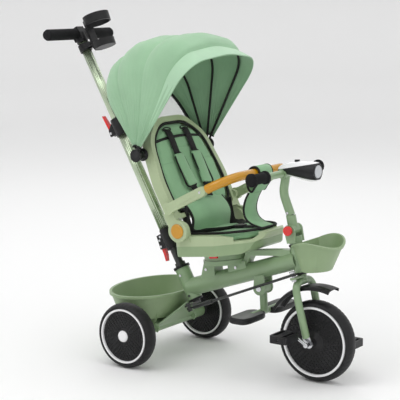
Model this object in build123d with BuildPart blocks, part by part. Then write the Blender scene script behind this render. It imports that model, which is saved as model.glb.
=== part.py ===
"""Children's tricycle with a push handle, folding canopy and swivelling seat.

The origin is the centre of the footprint on the ground. +X is forward, +Y is the
rider's left and +Z is up. Stations are measured forward from the rear axle.
"""

from build123d import *
import math
import os

os.makedirs("parts", exist_ok=True)

# ---- driving dimensions, millimetres and degrees ----
REAR_X = -155.3          # rear axle, from the centre of the footprint
WHEELBASE = 564.0
REAR_RADIUS = 103.0
REAR_WIDTH = 50.0
REAR_TRACK = 211.0       # wheel centre from the middle plane
FRONT_RADIUS = 125.0
FRONT_WIDTH = 52.0

PUSH_LEAN = 29.3         # push handle, back from vertical
STEER_LEAN = 13.0        # steering axis, back from vertical
SEAT_LEAN = 7.0          # seat base, nose up
BACK_LEAN = 27.0         # backrest, back from vertical
BAR_RISE = 27.0          # bumper bar's plane, up from level

SPINE_RADIUS = 28.5
SOCKET_RADIUS = 24.0
POST_RADIUS = 12.5
STEERER_RADIUS = 14.0
LOWER_TUBE_RADIUS = 18.0
UPPER_TUBE_RADIUS = 16.0
AXLE_TUBE_RADIUS = 21.5
WALL = 2.5
RUNNING = 0.05           # radial clearance of a running fit
GAP = 0.5                # clearance between faces that slide past each other
LEVER_ARM = 50.0         # both steering levers, axis to rod bolt
BOLT_RADIUS = 4.0


def at(x, y, z):
    """Point at a station forward of the rear axle."""
    return Vector(REAR_X + x, y, z)


def unit(lean):
    """Direction that leans back from vertical by so many degrees."""
    return Vector(-math.sin(math.radians(lean)), 0, math.cos(math.radians(lean)))


def forward(lean):
    """Direction square to unit(lean), pointing forward."""
    return Vector(math.cos(math.radians(lean)), 0, math.sin(math.radians(lean)))


def rod(start, end, radius, mode=Mode.ADD):
    """Round bar between two points."""
    run = end - start
    with BuildSketch(Plane(origin=start, z_dir=run)) as section:
        Circle(radius)
    extrude(section.sketch, amount=run.length, mode=mode)


def cross_rod(centre, radius, y_low, y_high, mode=Mode.ADD):
    """Round bar across the tricycle, between two distances from the middle plane."""
    start = Vector(centre.X, y_low, centre.Z)
    end = Vector(centre.X, y_high, centre.Z)
    rod(start, end, radius, mode)


def slab(points, y_low, y_high, origin, lean=0.0, mode=Mode.ADD):
    """Plate with an outline in the side view, spread between two values of Y."""
    corner = Vector(origin.X, y_high, origin.Z)
    plane = Plane(origin=corner, x_dir=forward(lean), z_dir=(0, -1, 0))
    with BuildSketch(plane) as outline:
        with BuildLine():
            Polyline(*points, close=True)
        make_face()
    extrude(outline.sketch, amount=y_high - y_low, mode=mode)


def turned(centre, points, mode=Mode.ADD):
    """Ring or disc turned about a cross axis, from (y, radius) points."""
    plane = Plane(origin=centre, x_dir=(0, 1, 0), z_dir=(1, 0, 0))
    with BuildSketch(plane) as profile:
        with BuildLine():
            Polyline(*points, close=True)
        make_face()
    revolve(profile.sketch, axis=Axis(centre, (0, 1, 0)), mode=mode)


def bent_tube(points, bends, radius, mode=Mode.ADD):
    """Round tube along straight runs joined by tangent arcs."""
    with BuildLine() as path:
        FilletPolyline(*points, radius=bends)
    with BuildSketch(Plane(origin=path.line @ 0, z_dir=path.line % 0)) as section:
        Circle(radius)
    sweep(section.sketch, path=path.line, mode=mode)


def save(piece, name):
    """Label a finished piece and write its file."""
    piece.part.label = name
    export_step(piece.part, f"parts/{name}.step")


# ---- reference points ----
REAR_AXLE = at(0, 0, REAR_RADIUS)
FRONT_AXLE = at(WHEELBASE, 0, FRONT_RADIUS)
SOCKET_MOUTH = at(61, 0, 287)
PUSH_UP = unit(PUSH_LEAN)
PUSH_OUT = forward(PUSH_LEAN)
STEER_BASE = at(508, 0, 322)
STEER_UP = unit(STEER_LEAN)
STEER_OUT = forward(STEER_LEAN)
SWIVEL = at(236, 0, 327)
SWIVEL_UP = unit(SEAT_LEAN)
SEAT_OUT = forward(SEAT_LEAN)
PIVOT = at(172, 0, 446)
BACK_UP = unit(BACK_LEAN)
BACK_OUT = forward(BACK_LEAN)
CANOPY_PIVOT = at(30, 0, 670)
SPINE_SLOPE = 0.3438
SPINE_REAR = at(94, 0, 228.8)
SPINE_HEAD = at(494, 0, 228.8 + 400 * SPINE_SLOPE)


def on_push(distance, out=0.0):
    """Point up the push handle's axis from the socket's mouth."""
    return SOCKET_MOUTH + PUSH_UP * distance + PUSH_OUT * out


def on_steer(distance, out=0.0):
    """Point up the steering axis from below the head tube."""
    return STEER_BASE + STEER_UP * distance + STEER_OUT * out


def on_back(rise, out=0.0):
    """Point up the backrest from the recline pivot."""
    return PIVOT + BACK_UP * rise + BACK_OUT * out


# ---- frame: spine, head tube and socket are one weldment ----
SOCKET_LENGTH = 106.0
HEAD_LOW = 8.0
HEAD_HIGH = 88.0
HEAD_RADIUS = 21.0
BUSH_RADIUS = 17.0

with BuildPart() as frame_spine:
    rod(SPINE_REAR, SPINE_HEAD, SPINE_RADIUS)
    rod(SPINE_REAR, SPINE_HEAD, SPINE_RADIUS - WALL, mode=Mode.SUBTRACT)
    rod(on_push(-SOCKET_LENGTH), on_push(0), SOCKET_RADIUS)
    rod(on_steer(HEAD_LOW), on_steer(HEAD_HIGH), HEAD_RADIUS)
    rod(on_push(-SOCKET_LENGTH), on_push(0), SOCKET_RADIUS - WALL, mode=Mode.SUBTRACT)
    rod(on_steer(HEAD_LOW), on_steer(HEAD_HIGH), BUSH_RADIUS, mode=Mode.SUBTRACT)
save(frame_spine, "frame_spine")

FLANGE = 6.0
SPIGOT = 14.0
SOCKET_BORE = SOCKET_RADIUS - WALL
with BuildPart() as steering_bushes:
    rod(on_push(-SPIGOT), on_push(0), SOCKET_BORE)
    rod(on_push(0), on_push(FLANGE + 2), SOCKET_RADIUS + 3)
    rod(on_push(-SOCKET_LENGTH), on_push(SPIGOT - SOCKET_LENGTH), SOCKET_BORE)
    rod(on_push(-SOCKET_LENGTH - FLANGE), on_push(-SOCKET_LENGTH), SOCKET_RADIUS)
    rod(on_push(-SOCKET_LENGTH - FLANGE), on_push(FLANGE + 2), POST_RADIUS + RUNNING, mode=Mode.SUBTRACT)
    rod(on_steer(HEAD_LOW - FLANGE), on_steer(HEAD_LOW), HEAD_RADIUS + 2)
    rod(on_steer(HEAD_LOW), on_steer(HEAD_LOW + SPIGOT), BUSH_RADIUS)
    rod(on_steer(HEAD_HIGH - SPIGOT), on_steer(HEAD_HIGH), BUSH_RADIUS)
    rod(on_steer(HEAD_HIGH), on_steer(HEAD_HIGH + FLANGE), HEAD_RADIUS + 2)
    rod(on_steer(HEAD_LOW - FLANGE), on_steer(HEAD_HIGH + FLANGE), STEERER_RADIUS + RUNNING, mode=Mode.SUBTRACT)
save(steering_bushes, "steering_bushes")

AXLE_TUBE_HALF = 183.4
AXLE_RADIUS = 6.0
with BuildPart() as axle_tube:
    cross_rod(REAR_AXLE, AXLE_TUBE_RADIUS, -AXLE_TUBE_HALF, AXLE_TUBE_HALF)
    cross_rod(REAR_AXLE, AXLE_RADIUS, -AXLE_TUBE_HALF, AXLE_TUBE_HALF, mode=Mode.SUBTRACT)
save(axle_tube, "axle_tube")

AXLE_HALF = 229.0
PUSH_NUT = 3.0
with BuildPart() as rear_axle:
    cross_rod(REAR_AXLE, AXLE_RADIUS, -AXLE_HALF, AXLE_HALF)
    for side in (-1, 1):
        nut = sorted((side * (AXLE_HALF - PUSH_NUT - 1), side * (AXLE_HALF - 1)))
        cross_rod(REAR_AXLE, 11, *nut)
save(rear_axle, "rear_axle")

# ---- brackets welded to the frame ----
GUSSET_UP = Vector(0.689, 0, 0.725)
FOOT_HINGE = at(370, 0, 264)
with BuildPart() as frame_brackets:
    # gusset plate from the axle tube up to the socket
    gusset_plane = Plane(origin=at(22, 0, 106), x_dir=(0, 1, 0), z_dir=(0.725, 0, -0.689))
    with BuildSketch(gusset_plane) as gusset:
        with BuildLine():
            Polyline((-108, 0), (108, 0), (28, 112), (-28, 112), close=True)
        make_face()
    extrude(gusset.sketch, amount=4)
    for side in (-1, 1):
        flange = sorted((side * 98, side * 104))
        slab([(18, 108), (36, 92), (44, 108), (30, 122)], *flange, at(0, 0, 0))
    rod(on_push(-SOCKET_LENGTH - 20), on_push(0), SOCKET_RADIUS, mode=Mode.SUBTRACT)
    cross_rod(REAR_AXLE, AXLE_TUBE_RADIUS, -AXLE_TUBE_HALF, AXLE_TUBE_HALF, mode=Mode.SUBTRACT)
    # two cheeks that carry the footrest's hinge
    for side in (-1, 1):
        cheek = sorted((side * 20, side * 25))
        slab([(352, 300), (386, 310), (390, 262), (350, 262)], *cheek, at(0, 0, 0))
        cross_rod(FOOT_HINGE, 21, *cheek)
    cross_rod(FOOT_HINGE, 6, -25, 25, mode=Mode.SUBTRACT)
    rod(SPINE_REAR, SPINE_HEAD, SPINE_RADIUS, mode=Mode.SUBTRACT)
    # plate in front of the head tube for the front basket
    slab([(HEAD_RADIUS, 22), (HEAD_RADIUS + 3.5, 22), (HEAD_RADIUS + 3.5, 84), (HEAD_RADIUS, 84)],
         -34, 34, STEER_BASE, STEER_LEAN)
save(frame_brackets, "frame_brackets")

# ---- seat support: rear leg, front leg, top strut and swivel plate ----
TABLE_RADIUS = 74.0
TABLE_THICK = 15.0
SWIVEL_PIN = 8.0
PIN_TOP = 38.0
with BuildPart() as seat_support:
    slab([(150, 262), (206, 282), (200, 330), (164, 326)], -24, 24, at(0, 0, 0))
    slab([(258, 300), (322, 322), (318, 344), (250, 336)], -24, 24, at(0, 0, 0))
    slab([(300, 334), (322, 337), (334, 362), (400, 370), (436, 372), (476, 372), (476, 396),
          (440, 392), (318, 377), (309, 350)], -17, 17, at(0, 0, 0))
    slab([(330, 358), (430, 370), (470, 370), (470, 388), (440, 386), (336, 373)],
         -13, 13, at(0, 0, -4), mode=Mode.SUBTRACT)
    rod(SPINE_REAR, SPINE_HEAD, SPINE_RADIUS, mode=Mode.SUBTRACT)
    rod(on_steer(HEAD_LOW - 20), on_steer(HEAD_HIGH + 20), HEAD_RADIUS, mode=Mode.SUBTRACT)
    rod(SWIVEL, SWIVEL + SWIVEL_UP * TABLE_THICK, TABLE_RADIUS)
    rod(SWIVEL, SWIVEL + SWIVEL_UP * PIN_TOP, SWIVEL_PIN)
save(seat_support, "seat_support")

# ---- rear basket: an oval tub with a rolled rim ----
TUB = at(-49, 0, 0)
TUB_FLOOR = 134.0
TUB_RIM = 208.0
RIM_HEIGHT = 8.0


def tub_shape(inset, z_low, z_high, mode=Mode.ADD):
    """Oval frustum that the rear basket's walls follow."""
    with BuildSketch(Plane(origin=(TUB.X, 0, z_low))) as low:
        Ellipse(94 - inset, 146 - inset)
    with BuildSketch(Plane(origin=(TUB.X, 0, z_high))) as high:
        Ellipse(117 - inset, 178 - inset)
    loft([low.sketch, high.sketch], mode=mode)


with BuildPart() as rear_basket:
    tub_shape(0, TUB_FLOOR, TUB_RIM)
    with BuildSketch(Plane(origin=(TUB.X, 0, TUB_RIM))) as rim:
        Ellipse(122, 184)
    extrude(rim.sketch, amount=RIM_HEIGHT)
    for y in (-95, -50, 46, 91):
        slab([(-30, 118), (22, 118), (30, 150), (36, 175), (-30, 140)], y, y + 4, at(0, 0, 0))
    cross_rod(REAR_AXLE, AXLE_TUBE_RADIUS, -AXLE_TUBE_HALF, AXLE_TUBE_HALF, mode=Mode.SUBTRACT)
    tub_shape(3.5, TUB_FLOOR + 3, TUB_RIM + RIM_HEIGHT)
    tub_shape(3.5, TUB_FLOOR + 3, TUB_RIM + RIM_HEIGHT, mode=Mode.SUBTRACT)
    rod(on_push(-130), on_push(20), SOCKET_RADIUS + 1, mode=Mode.SUBTRACT)
save(rear_basket, "rear_basket")

# ---- front basket: flat back, round front, rim high at the sides ----
BIN_BACK = 537.0
BIN_FLOOR = 345.0


def bin_outline(plane, back, front, half):
    """Plan of the front basket at one height: a flat back and a round front."""
    with BuildSketch(plane) as plan:
        with BuildLine():
            Polyline((back, half * 0.86), (back, -half * 0.86))
            ThreePointArc((back, -half * 0.86), ((back + front) / 2, -half), (front - half * 0.36, -half * 0.82))
            ThreePointArc((front - half * 0.36, -half * 0.82), (front, 0), (front - half * 0.36, half * 0.82))
            ThreePointArc((front - half * 0.36, half * 0.82), ((back + front) / 2, half), (back, half * 0.86))
        make_face()
    return plan.sketch


def bin_shape(inset, floor, mode=Mode.ADD):
    """Flared body of the front basket."""
    low = bin_outline(Plane(origin=at(0, 0, floor)), 537 + inset, 604 - inset, 62 - inset)
    high = bin_outline(Plane(origin=at(0, 0, 450)), 514 + inset, 648 - inset, 98 - inset)
    loft([low, high], mode=mode)


def bin_crown(rise, mode):
    """Large cylinder whose top gives the rim its saddle line."""
    cross_rod(at(572, 0, 338 + rise), 102, -120, 120, mode=mode)


with BuildPart() as front_basket:
    bin_shape(0, BIN_FLOOR)
    bin_crown(0, Mode.INTERSECT)
    with BuildPart(mode=Mode.PRIVATE) as lip:
        bin_shape(-4, BIN_FLOOR)
        bin_crown(0, Mode.INTERSECT)
        bin_crown(-8, Mode.SUBTRACT)
    add(lip.part)
    bin_shape(3, BIN_FLOOR + 3, mode=Mode.SUBTRACT)
    slab([(HEAD_RADIUS + 3.5, 0), (HEAD_RADIUS + 3.5, 140), (-60, 140), (-60, 0)],
         -120, 120, STEER_BASE, STEER_LEAN, mode=Mode.SUBTRACT)
save(front_basket, "front_basket")

# ---- wheels ----
RING_DEPTH = 7.0


def tyre_profile(radius, rim, width):
    """Half section of a tyre, from (y, radius) points, with rounded shoulders."""
    half = width / 2
    return [(-half + 3, rim), (-half, rim + 2), (-half, radius - 11), (-half + 3, radius - 5),
            (-half + 9, radius - 1), (-half + 16, radius), (half - 16, radius), (half - 9, radius - 1),
            (half - 3, radius - 5), (half, radius - 11), (half, rim + 2), (half - 3, rim)]


REAR_RIM = 87.0
REAR_DISC = 80.0
for side, name in ((-1, "right"), (1, "left")):
    centre = REAR_AXLE + Vector(0, side * REAR_TRACK, 0)
    half = REAR_WIDTH / 2
    with BuildPart() as rear_tyre:
        turned(centre, tyre_profile(REAR_RADIUS, REAR_RIM, REAR_WIDTH))
    save(rear_tyre, f"rear_tyre_{name}")

    with BuildPart() as rear_disc:
        turned(centre, [(-22, 20), (-22, 12), (22, 12), (22, 20), (19, 24), (17, REAR_DISC),
                        (-17, REAR_DISC), (-19, 24)])
        turned(centre, [(side * -26.5, 0), (side * -26.5, 14), (side * 12, 14), (side * 12, 0)])
        cross_rod(REAR_AXLE, AXLE_RADIUS + RUNNING, -250, 250, mode=Mode.SUBTRACT)
    save(rear_disc, f"rear_disc_{name}")

    with BuildPart() as rear_trim:
        turned(centre, [(-half + 4, REAR_RIM), (-half + 1, REAR_RIM - 1), (-half + 1, REAR_DISC + 1),
                        (-half + 4, REAR_DISC), (half - 4, REAR_DISC), (half - 1, REAR_DISC + 1),
                        (half - 1, REAR_RIM - 1), (half - 4, REAR_RIM)])
        turned(centre, [(side * 22, 18.5), (side * 22, 13), (side * 26, 12.5), (side * 26, 0),
                        (side * 28, 0), (side * 27.5, 12), (side * 25, 17)])
        cross_rod(REAR_AXLE, 12.4, -REAR_TRACK - 25.5, REAR_TRACK + 25.5, mode=Mode.SUBTRACT)
    save(rear_trim, f"rear_trim_{name}")

FRONT_RIM = 108.0
FRONT_DISC = 100.0
CRANK_AXLE_RADIUS = 5.0
with BuildPart() as front_tyre:
    turned(FRONT_AXLE, tyre_profile(FRONT_RADIUS, FRONT_RIM, FRONT_WIDTH))
save(front_tyre, "front_tyre")

front_half = FRONT_WIDTH / 2
with BuildPart() as front_ring:
    turned(FRONT_AXLE, [(-front_half + 4, FRONT_RIM), (-front_half + 1, FRONT_RIM - 1),
                        (-front_half + 1, FRONT_DISC + 1), (-front_half + 4, FRONT_DISC),
                        (front_half - 4, FRONT_DISC), (front_half - 1, FRONT_DISC + 1),
                        (front_half - 1, FRONT_RIM - 1), (front_half - 4, FRONT_RIM)])
save(front_ring, "front_ring")

with BuildPart() as front_disc:
    turned(FRONT_AXLE, [(-30, CRANK_AXLE_RADIUS), (-30, 15), (-22, 24), (-18, 30), (-17, FRONT_DISC),
                        (17, FRONT_DISC), (18, 30), (22, 24), (30, 15), (30, CRANK_AXLE_RADIUS)])
save(front_disc, "front_disc")

# ---- cranks and pedals ----
CRANK = 55.0
CRANK_ANGLE = 150.0
PEDAL_PIN = 4.0
crank_reach = Vector(CRANK * math.cos(math.radians(CRANK_ANGLE)), 0, CRANK * math.sin(math.radians(CRANK_ANGLE)))
RIGHT_PEDAL = FRONT_AXLE + crank_reach
LEFT_PEDAL = FRONT_AXLE - crank_reach
with BuildPart() as crank_axle:
    cross_rod(FRONT_AXLE, CRANK_AXLE_RADIUS, -68, 68)
    for side, end in ((-1, RIGHT_PEDAL), (1, LEFT_PEDAL)):
        arm_y = side * 67
        rod(FRONT_AXLE + Vector(0, arm_y, 0), end + Vector(0, arm_y, 0), 5)
        cross_rod(FRONT_AXLE, 7.5, *sorted((side * 62.5, side * 71.5)))
        cross_rod(end, 7, *sorted((side * 62.5, side * 71.5)))
        cross_rod(end, PEDAL_PIN, *sorted((side * 67, side * 150)))
save(crank_axle, "crank_axle")

for side, name, centre in ((-1, "right", RIGHT_PEDAL), (1, "left", LEFT_PEDAL)):
    with BuildPart() as pedal:
        with BuildSketch(Plane(origin=(centre.X, side * 115, centre.Z - 11))) as tread:
            RectangleRounded(58, 82, 10)
        extrude(tread.sketch, amount=22)
        for slot in (-1, 1):
            window = Plane(origin=(centre.X + slot * 17, side * 115, centre.Z - 12))
            with BuildSketch(window) as cut:
                RectangleRounded(12, 60, 4)
            extrude(cut.sketch, amount=24, mode=Mode.SUBTRACT)
        cross_rod(centre, PEDAL_PIN + RUNNING, -160, 160, mode=Mode.SUBTRACT)
    save(pedal, f"pedal_{name}")

# ---- fork: two legs, crown, steerer, lever and folding yoke ----
LEG_Y = 50.0
LEG_RADIUS = 11.5
HUB_HEIGHT = 138.6       # folding hinge, up the steering axis
FOLD_HINGE = on_steer(HUB_HEIGHT)
FOLD_PIN = 5.0
FOLD_BOSS = 10.0         # boss that guides the folding hinge's button
LEG_LOW = at(555, 0, 142)
LEG_KNEE = at(530, 0, 232)
CROWN = at(513, 0, 304)


def leg_point(point, side):
    """The same point on one fork leg."""
    return Vector(point.X, side * LEG_Y, point.Z)


with BuildPart() as fork:
    fork_path = [leg_point(LEG_LOW, -1), leg_point(LEG_KNEE, -1), leg_point(CROWN, -1),
                 leg_point(CROWN, 1), leg_point(LEG_KNEE, 1), leg_point(LEG_LOW, 1)]
    bent_tube(fork_path, [150, 30, 30, 150], LEG_RADIUS)
    rod(on_steer(-22), on_steer(112), STEERER_RADIUS)
    with BuildSketch(Plane(origin=on_steer(-7), x_dir=(0, -1, 0), z_dir=STEER_UP)) as lever:
        with Locations((LEVER_ARM / 2, 0)):
            SlotCenterToCenter(LEVER_ARM, 22)
    extrude(lever.sketch, amount=6)
    rod(on_steer(96), on_steer(118), 20)
    for side in (-1, 1):
        cheek = sorted((side * 18.6, side * 27))
        slab([(-15, 100), (15, 100), (17, HUB_HEIGHT), (-17, HUB_HEIGHT)], *cheek, STEER_BASE, STEER_LEAN)
        cross_rod(FOLD_HINGE, 17, *cheek)
    slab([(-15, 100), (15, 100), (15, 118), (-15, 118)], -27, 27, STEER_BASE, STEER_LEAN)
    cross_rod(FOLD_HINGE, FOLD_BOSS, -31, -27)
    rod(on_steer(30), on_steer(70), STEERER_RADIUS - WALL, mode=Mode.SUBTRACT)
    cross_rod(FOLD_HINGE, FOLD_PIN, -30, 30, mode=Mode.SUBTRACT)
    rod(on_steer(-10) + Vector(0, -LEVER_ARM, 0), on_steer(2) + Vector(0, -LEVER_ARM, 0), BOLT_RADIUS,
        mode=Mode.SUBTRACT)
save(fork, "fork")

with BuildPart() as fork_hardware:
    cross_rod(FOLD_HINGE, FOLD_PIN, -27, 27)
    # rod bolt: shank through the lever, washer head above the rod's eye
    shank = Vector(0, -LEVER_ARM, 0)
    rod(on_steer(-13) + shank, on_steer(18) + shank, BOLT_RADIUS)
    rod(on_steer(-13) + shank, on_steer(-7) + shank, 7)
    rod(on_steer(14) + shank, on_steer(18) + shank, 10)
    # drop-outs that hold the front axle
    for side in (-1, 1):
        tab = sorted((side * 46, side * 52))
        slab([(540, 142), (566, 150), (577, 125), (564, 112), (551, 125)], *tab, at(0, 0, 0))
        cross_rod(FRONT_AXLE, 13, *tab)
        rod(leg_point(LEG_LOW, side), leg_point(LEG_KNEE, side), LEG_RADIUS, mode=Mode.SUBTRACT)
    cross_rod(FRONT_AXLE, CRANK_AXLE_RADIUS + RUNNING, -60, 60, mode=Mode.SUBTRACT)
save(fork_hardware, "fork_hardware")

GUARD_CENTRE = at(572, 0, 122)
GUARD_RADIUS = 177.0
with BuildPart() as mudguard:
    crown_plane = Plane(origin=GUARD_CENTRE, x_dir=(0, 1, 0), z_dir=(1, 0, 0))
    with BuildSketch(crown_plane) as guard_section:
        with BuildLine():
            Polyline((-33, GUARD_RADIUS - 14), (-30, GUARD_RADIUS - 4), (-18, GUARD_RADIUS - 0.5),
                     (0, GUARD_RADIUS), (18, GUARD_RADIUS - 0.5), (30, GUARD_RADIUS - 4),
                     (33, GUARD_RADIUS - 14), (30, GUARD_RADIUS - 14), (27, GUARD_RADIUS - 6.5),
                     (17, GUARD_RADIUS - 3.5), (0, GUARD_RADIUS - 3), (-17, GUARD_RADIUS - 3.5),
                     (-27, GUARD_RADIUS - 6.5), (-30, GUARD_RADIUS - 14), close=True)
        make_face()
    wheel_axis = Axis(GUARD_CENTRE, (0, 1, 0))
    revolve(guard_section.sketch, axis=wheel_axis, revolution_arc=16)
    revolve(guard_section.sketch, axis=wheel_axis, revolution_arc=-60)
save(mudguard, "mudguard")

# ---- handlebar ----
BAR = at(450, 0, 627)
BAR_RADIUS = 11.0
BAR_HALF = 195.0
STEM_JOINT = at(467.5, 0, 500)
with BuildPart() as handlebar:
    cross_rod(FOLD_HINGE, 16, -18, 18)
    rod(FOLD_HINGE, STEM_JOINT, 15)
    bent_tube([STEM_JOINT, at(440, 0, 566), at(446, 0, 600), at(450, 0, 627)], [70, 60], 13.5)
    cross_rod(BAR, BAR_RADIUS, -BAR_HALF + 3, BAR_HALF - 3)
    cross_rod(BAR, 15, -26, 26)
    cross_rod(FOLD_HINGE, FOLD_PIN + RUNNING, -20, 20, mode=Mode.SUBTRACT)
save(handlebar, "handlebar")

GRIP_INNER = 118.0
with BuildPart() as handlebar_grips:
    for side in (-1, 1):
        turned(BAR, [(side * GRIP_INNER, BAR_RADIUS), (side * GRIP_INNER, 20), (side * (GRIP_INNER + 5), 20),
                     (side * (GRIP_INNER + 9), 16), (side * (BAR_HALF - 10), 16), (side * (BAR_HALF - 6), 20),
                     (side * BAR_HALF, 20), (side * (BAR_HALF + 2), 15), (side * (BAR_HALF + 2), 0),
                     (side * (BAR_HALF - 3), 0), (side * (BAR_HALF - 3), BAR_RADIUS)])
save(handlebar_grips, "handlebar_grips")

# ---- light and sound pod on the handlebar ----
POD_STATIONS = [(430, 636, 16, 11), (455, 640, 26, 19), (495, 640, 29, 26), (535, 638, 31, 30), (560, 639, 27, 27)]


def pod_body():
    """Teardrop body lofted through oval sections along the tricycle."""
    ovals = []
    for x, z, half_width, half_height in POD_STATIONS:
        with BuildSketch(Plane(origin=at(x, 0, z), x_dir=(0, 1, 0), z_dir=(1, 0, 0))) as oval:
            Ellipse(half_width, half_height)
        ovals.append(oval.sketch)
    loft(ovals)


def clear_bar():
    """Cut the room that the handlebar and stem take out of the pod."""
    cross_rod(BAR, 15, -26, 26, mode=Mode.SUBTRACT)
    cross_rod(BAR, BAR_RADIUS, -60, 60, mode=Mode.SUBTRACT)
    rod(at(446, 0, 590), BAR, 13.5, mode=Mode.SUBTRACT)


POD_SPLIT = (406, 633)    # behind the pod, where the lines between its three colours meet
LENS = at(560, 0, 639)
BUTTON = at(488, 0, 668)
BUTTON_AXIS = Vector(-0.06, 0, 1)
with BuildPart() as pod_shells:
    pod_body()
    slab([POD_SPLIT, (406, 720), (600, 720), (600, 674), (560, 665)], -60, 60, at(0, 0, 0), mode=Mode.INTERSECT)
    clear_bar()
    rod(BUTTON - BUTTON_AXIS * 12, BUTTON + BUTTON_AXIS * 20, 8.4, mode=Mode.SUBTRACT)
    with BuildPart(mode=Mode.PRIVATE) as lower_shell:
        pod_body()
        slab([POD_SPLIT, (406, 560), (600, 560), (600, 610), (540, 617)], -60, 60, at(0, 0, 0),
             mode=Mode.INTERSECT)
        clear_bar()
    add(lower_shell.part)
save(pod_shells, "pod_shells")

with BuildPart() as pod_band:
    pod_body()
    slab([POD_SPLIT, (560, 665), (600, 674), (600, 610), (540, 617)], -60, 60, at(0, 0, 0),
         mode=Mode.INTERSECT)
    clear_bar()
    rod(LENS - Vector(5, 0, 0), LENS + Vector(5, 0, 0), 20, mode=Mode.SUBTRACT)
save(pod_band, "pod_band")

with BuildPart() as pod_lens:
    with BuildSketch(Plane(origin=LENS - Vector(5, 0, 0), x_dir=(0, 1, 0), z_dir=(1, 0, 0))) as lens_base:
        Circle(20)
    extrude(lens_base.sketch, amount=9)
    fillet(pod_lens.edges().filter_by(GeomType.CIRCLE).sort_by(Axis.X)[-1], radius=6)
save(pod_lens, "pod_lens")

with BuildPart() as horn_button:
    rod(BUTTON - BUTTON_AXIS * 6, BUTTON + BUTTON_AXIS * 2, 8)
save(horn_button, "horn_button")

with BuildPart() as fold_button:
    cross_rod(FOLD_HINGE, 14.5, -37, -30.2)
    cross_rod(FOLD_HINGE, FOLD_BOSS + RUNNING, -34.5, -30, mode=Mode.SUBTRACT)
save(fold_button, "fold_button")

# ---- push handle, lower part: post, lever, tube and clamps ----
POST_LOW = -SOCKET_LENGTH - FLANGE - 12
CLAMP_LOW = 70.0
LOWER_TUBE_START = 140.0
UPPER_CLAMP_LOW = 479.0
LOWER_TUBE_END = 530.0
UPPER_CLAMP_HIGH = 538.0
LEVER_PLATE = 6.0
ROD_BOLT = on_push(POST_LOW) + Vector(0, -LEVER_ARM, 0)
ROD_REAR = ROD_BOLT - PUSH_UP * 7
ROD_AXIS = (PUSH_UP + Vector(0, -0.034, 0)).normalized()    # leans so the rod pitches as it swings
with BuildPart() as steer_post:
    rod(on_push(POST_LOW), on_push(LOWER_TUBE_START), POST_RADIUS)
    rod(on_push(FLANGE + 2 + GAP), on_push(FLANGE + 14), 17)
    with BuildSketch(Plane(origin=on_push(POST_LOW), x_dir=(0, -1, 0), z_dir=PUSH_UP)) as post_lever:
        with Locations((LEVER_ARM / 2, 0)):
            SlotCenterToCenter(LEVER_ARM, 24)
    extrude(post_lever.sketch, amount=LEVER_PLATE)
    rod(ROD_REAR - ROD_AXIS * 7, ROD_REAR + ROD_AXIS * 18, BOLT_RADIUS)
    rod(ROD_BOLT + PUSH_UP * LEVER_PLATE, ROD_BOLT + PUSH_UP * (LEVER_PLATE + 5), 7)
    rod(ROD_REAR - ROD_AXIS * 10, ROD_REAR - ROD_AXIS * 5, 7.5)
save(steer_post, "steer_post")

with BuildPart() as push_tube_lower:
    rod(on_push(LOWER_TUBE_START), on_push(LOWER_TUBE_END), LOWER_TUBE_RADIUS)
    rod(on_push(LOWER_TUBE_START + 6), on_push(LOWER_TUBE_END), UPPER_TUBE_RADIUS + RUNNING, mode=Mode.SUBTRACT)
save(push_tube_lower, "push_tube_lower")

LEVER_PIN = 3.0
UPPER_LEVER_HINGE = on_push(502, -36)
LOWER_LEVER_HINGE = on_push(92, -34)
with BuildPart() as tube_clamps:
    rod(on_push(CLAMP_LOW), on_push(LOWER_TUBE_START), 20)
    slab([(-40, 84), (-15, 80), (-15, 130), (-34, 130)], -13, 13, SOCKET_MOUTH, PUSH_LEAN)
    slab([(-60, 76), (-24, 76), (-24, 106), (-60, 106)], -7, 7, SOCKET_MOUTH, PUSH_LEAN, mode=Mode.SUBTRACT)
    rod(on_push(CLAMP_LOW), on_push(LOWER_TUBE_START), POST_RADIUS, mode=Mode.SUBTRACT)
    cross_rod(LOWER_LEVER_HINGE, LEVER_PIN, -13, 13)
    rod(on_push(UPPER_CLAMP_LOW), on_push(UPPER_CLAMP_HIGH), 22)
    slab([(-43, 492), (-15, 488), (-15, 532), (-40, 514)], -13, 13, SOCKET_MOUTH, PUSH_LEAN)
    slab([(-60, 486), (-26, 486), (-26, 540), (-60, 540)], -7, 7, SOCKET_MOUTH, PUSH_LEAN, mode=Mode.SUBTRACT)
    rod(on_push(UPPER_CLAMP_LOW), on_push(LOWER_TUBE_END), LOWER_TUBE_RADIUS, mode=Mode.SUBTRACT)
    rod(on_push(LOWER_TUBE_END), on_push(UPPER_CLAMP_HIGH), UPPER_TUBE_RADIUS + RUNNING, mode=Mode.SUBTRACT)
    cross_rod(UPPER_LEVER_HINGE, LEVER_PIN, -13, 13)
save(tube_clamps, "tube_clamps")

with BuildPart() as upper_lever:
    cross_rod(UPPER_LEVER_HINGE, 7, -6.5, 6.5)
    slab([(-42, 500), (-30, 506), (-37, 540), (-42, 568), (-47, 570), (-45, 535)], -6.5, 6.5,
         SOCKET_MOUTH, PUSH_LEAN)
    cross_rod(UPPER_LEVER_HINGE, LEVER_PIN + RUNNING, -10, 10, mode=Mode.SUBTRACT)
save(upper_lever, "upper_lever")

with BuildPart() as lower_lever:
    cross_rod(LOWER_LEVER_HINGE, 7, -6.5, 6.5)
    slab([(-40, 92), (-28, 90), (-32, 62), (-40, 42), (-45, 44), (-41, 68)], -6.5, 6.5,
         SOCKET_MOUTH, PUSH_LEAN)
    cross_rod(LOWER_LEVER_HINGE, LEVER_PIN + RUNNING, -10, 10, mode=Mode.SUBTRACT)
save(lower_lever, "lower_lever")

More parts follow.
